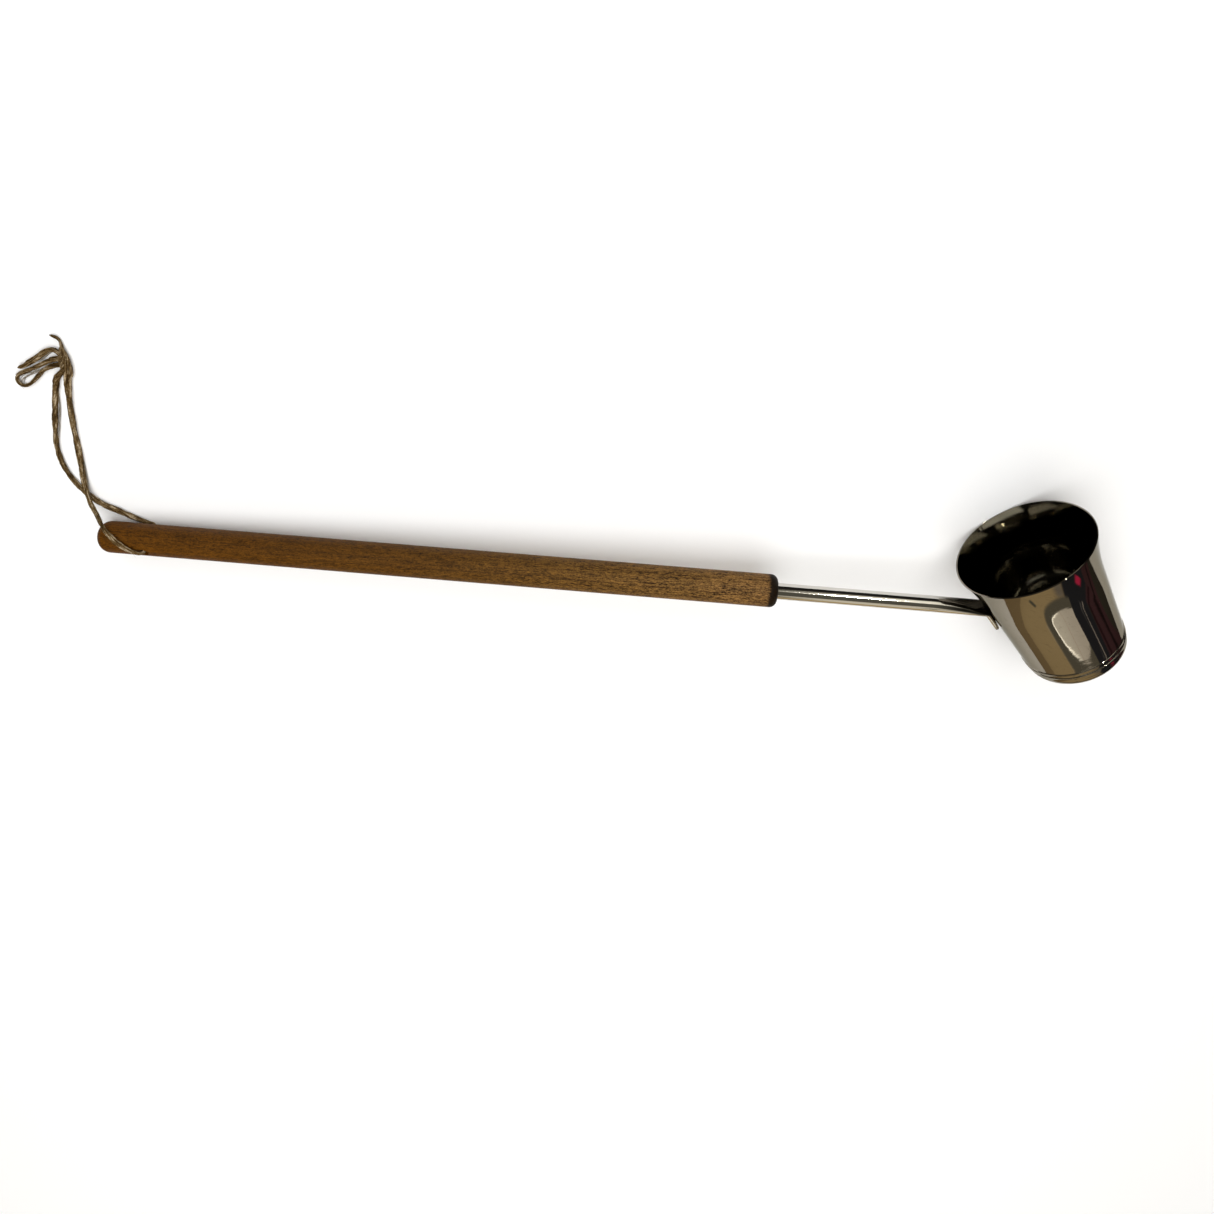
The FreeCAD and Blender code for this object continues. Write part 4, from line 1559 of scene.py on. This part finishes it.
FRONT_ROUTE = at_hole(
    (0, 0, 0), (-0.12, -1.8, 3.15), (-0.24, -3.4, 6.3), (-1.4, -3.5, 8.2), (-3.4, -3.0, 8.8),
    (-6.4, -1.6, 9.1), (-9.6, 0.5, 9.0), (-12.9, 3.0, 8.6), (-16.4, 5.8, 7.0),
    (-20.0, 8.5, 4.2),
    (-23.2, 10.4, 0.7), (-26.0, 12.9, -2.2), (-28.7, 16.8, -3.8),
) + on_floor(
    (-30.9, 23.5, 2.7), (-31.0, 33.0, 1.4), (-30.4, 46.0, 1.35), (-30.2, 58.0, 1.35),
    (-29.2, 69.0, 1.35), (-28.2, 76.5, 1.4), (-26.4, 83.0, 2.0),
)
BACK_ROUTE = at_hole(
    (0, 0, 0), (0.12, 1.8, -3.15), (0.2, 3.6, -6.3), (-0.4, 4.9, -7.25),
) + on_floor(
    (-2.2, 5.5, 1.35), (-4.4, 6.1, 1.35), (-8.7, 7.6, 1.35), (-13.2, 9.6, 1.35),
    (-17.8, 11.6, 1.35),
    (-22.2, 13.3, 1.35), (-27.5, 16.1, 1.35),
    (-35.2, 24.0, 1.35), (-39.9, 32.6, 1.35), (-41.3, 43.0, 1.35), (-39.8, 52.5, 1.35),
    (-37.3, 63.5, 1.35), (-34.8, 73.0, 1.35), (-33.2, 78.3, 1.4), (-31.0, 80.7, 1.5),
    (-28.5, 82.9, 1.8),
)
BOW_LOOP_ROUTE = on_floor(
    (-28.6, 88.2, 1.3), (-31.9, 87.9, 1.25), (-35.3, 86.5, 1.25), (-39.6, 84.4, 1.25),
    (-44.2, 82.3, 1.25), (-48.2, 80.7, 1.25), (-51.5, 79.0, 1.25), (-52.3, 76.9, 1.25),
    (-51.4, 74.8, 1.25), (-49.3, 73.9, 1.25), (-46.5, 75.0, 1.25), (-43.6, 77.3, 1.25),
    (-40.8, 79.9, 1.25), (-37.9, 82.5, 1.25), (-34.9, 83.9, 1.25), (-31.8, 85.0, 1.25),
    (-28.8, 85.3, 1.3),
)
BOW_END_ROUTE = on_floor(
    (-27.2, 89.8, 2.6), (-29.0, 91.7, 2.1), (-32.0, 92.5, 1.5), (-35.0, 91.3, 1.25),
    (-38.2, 89.1, 1.25), (-41.7, 86.9, 1.25), (-45.3, 84.8, 1.25), (-49.8, 82.7, 1.25),
)
TAIL_ROUTE = on_floor(
    (-26.8, 91.0, 2.0), (-27.0, 93.9, 1.4), (-27.4, 96.3, 0.85), (-28.9, 98.2, 0.85),
    (-31.8, 98.8, 0.85),
)
KNOT_ROUTES = (
    on_floor(
        (-25.9, 79.4, 1.5), (-25.1, 82.2, 1.8), (-24.9, 85.4, 2.0), (-25.3, 88.9, 2.0),
        (-26.2, 91.8, 1.8),
        (-27.1, 94.3, 1.3),
    ),
    on_floor(
        (-28.0, 81.3, 2.2), (-27.3, 83.4, 3.4), (-27.0, 86.3, 3.9), (-27.1, 89.3, 3.6),
        (-27.4, 91.8, 2.7),
        (-27.4, 93.8, 1.8),
    ),
    on_floor(
        (-29.3, 83.0, 1.3), (-28.9, 85.0, 2.0), (-28.3, 88.0, 2.3), (-28.1, 91.0, 2.0),
        (-27.5, 93.4, 1.4),
    ),
    on_floor(
        (-26.6, 79.6, 1.4), (-26.1, 82.8, 3.0), (-25.9, 86.0, 3.3), (-26.3, 89.6, 2.9),
        (-27.0, 92.6, 2.0),
    ),
)


@dataclass
class Twine:
    """The hanging twine: two strands from the handle's hole, a knot, a bow and a loose tail."""

    diameter: float = 2.6
    bow_diameter: float = 2.4
    tail_diameter: float = 1.6
    knot_diameter: float = 2.0

    def build(self, finish: bpy.types.Material, pale: bpy.types.Material) -> None:
        """Lay every piece of the twine.

        Args:
            finish: The jute.
            pale: The jute of loose fibres.
        """
        front = Cord(
            "front_strand",
            FRONT_ROUTE,
            self.diameter,
            pitch=34.0,
            phase=0.4,
            seed=3,
            swell=(0.80, 0.88, 1.08, 0.88, 0.88, 0.95, 1.10, 1.15, 1.05, 1.05, 1.15, 1.42),
            wisps=(Wisp(0.41, 0.66, (1.1, 0.3), 5, 0.11, 0.25),),
        )
        back = Cord(
            "back_strand",
            BACK_ROUTE,
            self.diameter,
            pitch=22.0,
            phase=1.9,
            seed=5,
            sway=0.4,
            swell=(0.80, 0.92, 1.16, 1.20, 1.05, 0.92, 0.92, 0.95, 1.05, 1.15, 1.12),
            wisps=(Wisp(0.62, 0.93, (2.0, 0.2), 6, 0.09, 0.4),),
        )
        loop = Cord(
            "bow_loop",
            BOW_LOOP_ROUTE,
            self.bow_diameter,
            pitch=19.0,
            seed=8,
            swell=(1.1, 1.1, 0.9, 0.85, 0.85, 0.8, 0.7, 0.75, 0.85, 0.8, 1.0, 1.15),
            wisps=(
                Wisp(0.22, 0.60, (2.4, -1.4), 9, 0.09, 1.0),
                Wisp(0.05, 0.45, (1.4, -1.8), 5, 0.09, 0.7),
            ),
        )
        end = Cord(
            "bow_end",
            BOW_END_ROUTE,
            self.bow_diameter,
            pitch=40.0,
            phase=1.2,
            seed=11,
            swell=(1.0, 0.95, 1.05, 1.15, 1.1, 0.95, 0.8),
            split=0.55,
            wisps=(
                Wisp(0.12, 0.72, (-0.6, -2.6), 7, 0.10, 0.4),
                Wisp(0.35, 0.97, (-0.4, 1.1), 3, 0.10, 0.3),
            ),
        )
        tail = Cord(
            "loose_tail",
            TAIL_ROUTE,
            self.tail_diameter,
            pitch=12.0,
            seed=14,
            swell=(1.3, 1.1, 0.9, 0.95, 0.6),
            wisps=(Wisp(0.55, 0.98, (-1.4, 0.3), 2, 0.06, 0.4),),
        )
        for cord, node in (
            (front, "twine_front_strand"),
            (back, "twine_back_strand"),
            (loop, "twine_bow_loop"),
            (end, "twine_bow_end"),
            (tail, "twine_tail"),
        ):
            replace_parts(cord.build(finish, pale), node)
        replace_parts(self.build_knot(finish), "twine_knot")
        self.declare(front)
        self.declare(back)
        self.declare(loop)

    def build_knot(self, finish: bpy.types.Material) -> bpy.types.Object:
        """Tie the knot: tightly twisted strands that run along it, side by side.

        Args:
            finish: The jute.

        Returns:
            The knot.
        """
        bm = bmesh.new()
        for number, route in enumerate(KNOT_ROUTES):
            strand = Cord(
                "knot_strand",
                route,
                self.knot_diameter * (0.85 if number == 1 else 1.0),
                pitch=5.0 if number == 1 else 14.0,
                phase=number * 1.3,
                spacing=0.25,
                seed=16 + number,
                spread=0.36 if number == 1 else 0.28,
                swell=(0.8, 1.05, 1.1, 1.0, 0.85, 0.6),
            )
            strand.line = spline_points(strand.route, strand.spacing)
            strand.lay_plies(bm)
            strand.add_fuzz(bm, 0.8, 1.6)
        rest_on_floor(bm)
        return finish_piece(bm, "tied_knot", Matrix.Identity(4), finish, 75.0)

    def declare(
        self, cord: Cord
    ) -> None:
        """Work out a cord's diameter and its points in metres.

        Args:
            cord: The twine.
        """
        cord.diameter * MM
        [tuple(point * MM) for point in cord.line]


# The studio


@dataclass(frozen=True)
class Screen:
    """A soft-edged patch of the studio's walls, which the steel reflects (degrees)."""

    azimuth: float
    elevation: float
    width: float
    height: float
    colour: Colour
    edge: float = 2.0


@dataclass(frozen=True)
class Card:
    """A glowing panel beside the ladle, which only the steel sees (metres)."""

    place: Vector = field(default_factory=lambda: Vector((0.3784, -0.2596, 0.0)))
    azimuth: float = -57.0
    width: float = 0.36
    height: float = 0.31
    bottom: float = 0.11

    def side(self) -> Vector:
        """The level direction in the panel."""
        angle = math.radians(self.azimuth)
        return Vector((-math.sin(angle), math.cos(angle), 0.0))

    def build(self) -> None:
        """Stand the panel up."""
        bm = bmesh.new()
        bmesh.ops.create_grid(bm, x_segments=2, y_segments=2, size=0.5)
        side, up = self.side(), Vector((0, 0, 1))
        middle = self.place + up * (self.bottom + self.height / 2)
        axes = Matrix((side, up, side.cross(up))).transposed().to_4x4()
        size = Matrix.Diagonal((self.width, self.height, 1.0, 1.0))
        bmesh.ops.transform(bm, matrix=Matrix.Translation(middle) @ axes @ size, verts=bm.verts)
        card = new_object(bm, "studio_card", CardFinish().build(self))
        card.visible_camera = card.visible_diffuse = False
        card.visible_shadow = card.visible_transmission = False


@dataclass(frozen=True)
class Lamp:
    """A soft rectangular lamp: where it stands, its size in metres and its power in watts.

    Steel sees it where it is mirrored, and it shines on the ladle where it is lighting.
    """

    name: str
    place: Vector
    width: float
    depth: float
    power: float
    colour: Colour = (1.0, 1.0, 1.0)
    mirrored: bool = True
    lighting: bool = True

    def build(self) -> None:
        """Hang the lamp so that it faces the ladle."""
        data = bpy.data.lights.new(self.name, "AREA")
        data.shape = "RECTANGLE"
        data.size, data.size_y = self.width, self.depth
        data.energy, data.color = self.power, self.colour
        lamp = bpy.data.objects.new(self.name, data)
        lamp.location = self.place
        lamp.rotation_euler = (-self.place).to_track_quat("-Z", "Y").to_euler()
        lamp.visible_glossy, lamp.visible_diffuse = self.mirrored, self.lighting
        bpy.context.scene.collection.objects.link(lamp)


@dataclass
class Studio:
    """The floor, the lamps, the walls that the steel reflects, and the camera."""

    floor_size: float = 6.0
    wall: Colour = (0.060, 0.054, 0.042)
    ceiling: Colour = (0.115, 0.108, 0.085)
    lens: float = 26.69
    shift: tuple[float, float] = (0.00336, -0.04456)
    camera_place: Vector = field(default_factory=lambda: Vector((0.01063, 0.20076, 0.40028)))
    camera_right: Vector = field(default_factory=lambda: Vector((0.99779, 0.04577, -0.04815)))
    camera_up: Vector = field(default_factory=lambda: Vector((-0.06277, 0.88696, -0.45756)))
    camera_back: Vector = field(default_factory=lambda: Vector((0.02176, 0.45957, 0.88787)))

    def screens(self) -> list[Screen]:
        """List what the steel mirrors.

        Returns:
            The patches round the ladle, as the cup's side shows them from left to right.
        """
        return [
            Screen(-74, 0, 62, 60, (0.34, 0.245, 0.13), 6.0),
            Screen(-72, 12, 56, 36, (0.56, 0.42, 0.22), 12.0),
            Screen(-65, 42, 30, 36, (0.80, 0.73, 0.58), 3.0),
            Screen(-45, 9, 7, 14, (0.28, 0.24, 0.19), 3.0),
            Screen(-70.5, 8, 2.2, 6, (0.12, 0.12, 0.09), 0.8),
            Screen(-31, 18, 21, 64, (0.030, 0.031, 0.036), 1.2),
            Screen(-28.5, 20, 2.0, 7, (0.16, 0.155, 0.15), 1.0),
            Screen(-25.5, 17.5, 0.7, 5, (0.50, 0.45, 0.40), 0.5),
            Screen(-16, -4, 11, 34, (0.085, 0.040, 0.045), 1.0),
            Screen(-14.6, -2, 1.6, 30, (0.020, 0.012, 0.012), 0.8),
            Screen(-19.5, 4, 1.4, 20, (0.030, 0.012, 0.014), 0.8),
            Screen(-28, 1.5, 4.0, 6, (0.85, 0.04, 0.13), 1.2),
            Screen(110, 4, 170, 50, (0.020, 0.019, 0.017), 3.0),
            Screen(66, 45, 22, 32, (1.25, 1.19, 1.02), 6.0),
        ]

    def build(self) -> None:
        """Set the whole studio."""
        self.build_floor()
        self.build_walls()
        Card().build()
        for lamp in (
            Lamp(
                "key", Vector((0.376, 0.705, 1.118)), 0.10, 0.09, 4.2, (1.0, 0.97, 0.88), True, False
            ),
            Lamp("overhead_fill", Vector((0.0, 0.0, 1.5)), 1.8, 1.8, 26.0, mirrored=False),
            Lamp("front_fill", Vector((-0.1, -1.15, 0.75)), 1.5, 0.8, 4.0, mirrored=False),
            Lamp("back_fill", Vector((-0.1, 1.15, 0.75)), 1.5, 0.8, 5.5, mirrored=False),
        ):
            lamp.build()
            log.info("lamp %s: %.1f W", lamp.name, lamp.power)
        self.build_camera()

    def build_floor(self) -> None:
        """Lay the floor."""
        bm = bmesh.new()
        bmesh.ops.create_grid(bm, x_segments=2, y_segments=2, size=self.floor_size / 2)
        new_object(bm, "studio_floor", FloorFinish().build(self.screens(), self.wall))

    def build_walls(self) -> None:
        """Paint the studio's surroundings by direction."""
        world = bpy.data.worlds.new("studio")
        world.use_nodes = True
        bpy.context.scene.world = world
        graph = Graph(world.node_tree)
        x, y, z = graph.parts(graph.out("ShaderNodeTexCoord", "Generated"))
        azimuth = graph.math("ARCTAN2", y, x) * DEGREES
        elevation = graph.math("ARCSINE", z) * DEGREES
        bare = graph.mix(graph.smooth(elevation, 10, 70), self.wall, self.ceiling)
        colour = paint(graph, azimuth, elevation, self.screens(), bare)
        background = graph.node("ShaderNodeBackground", None, {"Color": colour, "Strength": 1.0})
        graph.close(background, "ShaderNodeOutputWorld")

    def build_camera(self) -> None:
        """Set the camera where the picture was taken from."""
        data = bpy.data.cameras.new("camera")
        data.lens = self.lens
        data.sensor_width = 36.0
        data.shift_x, data.shift_y = self.shift
        data.clip_start = 0.01
        camera = bpy.data.objects.new("camera", data)
        axes = Matrix((self.camera_right, self.camera_up, self.camera_back)).transposed().to_4x4()
        camera.matrix_world = Matrix.Translation(self.camera_place) @ axes
        bpy.context.scene.collection.objects.link(camera)
        bpy.context.scene.camera = camera
        bpy.context.scene.view_settings.view_transform = "Standard"


def main() -> None:
    """Load the frame, build every piece round it and set the studio."""
    logging.basicConfig(level=logging.INFO, format="%(name)s %(message)s")
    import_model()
    beech = BeechFinish().build()
    cup = Cup()
    cup_place = LYING @ cup.place()
    outer_steel = SteelFinish(
        "cup_steel",
        (0.325, 0.295, 0.250),
        0.028,
        cup_place,
        brushing=0.001,
        smudges=0.12,
        unevenness=0.025,
        edge_tint=(0.45, 0.44, 0.40),
    ).build()
    inner_steel = SteelFinish(
        "cup_inner_steel",
        (0.42, 0.40, 0.34),
        0.014,
        cup_place,
        grooves=0.004,
        brushing=0.003,
        unevenness=0.01,
        edge_tint=(0.60, 0.57, 0.50),
    ).build()
    # The stem's upper side gets the near-black painted reflection from 408 mm, near where the tube
    # is pressed flat.
    stem_steel = SteelFinish(
        "stem_steel", (0.60, 0.58, 0.54), 0.055, LYING, dark_reflection_from=408.0
    ).build()
    jute = JuteFinish().build()
    # Lighter jute for the loose fibres; its crown stop is a painted highlight too.
    pale_jute = JuteFinish(
        name="pale_jute",
        shade=(0.20, 0.165, 0.125),
        body=(0.34, 0.29, 0.225),
        light=(0.46, 0.40, 0.32),
        crown=(0.66, 0.60, 0.50),
    ).build()
    Handle().build(beech)
    Stem().build(stem_steel)
    cup.build(outer_steel, inner_steel)
    Twine().build(jute, pale_jute)
    Studio().build()


if __name__ == "__main__":
    main()
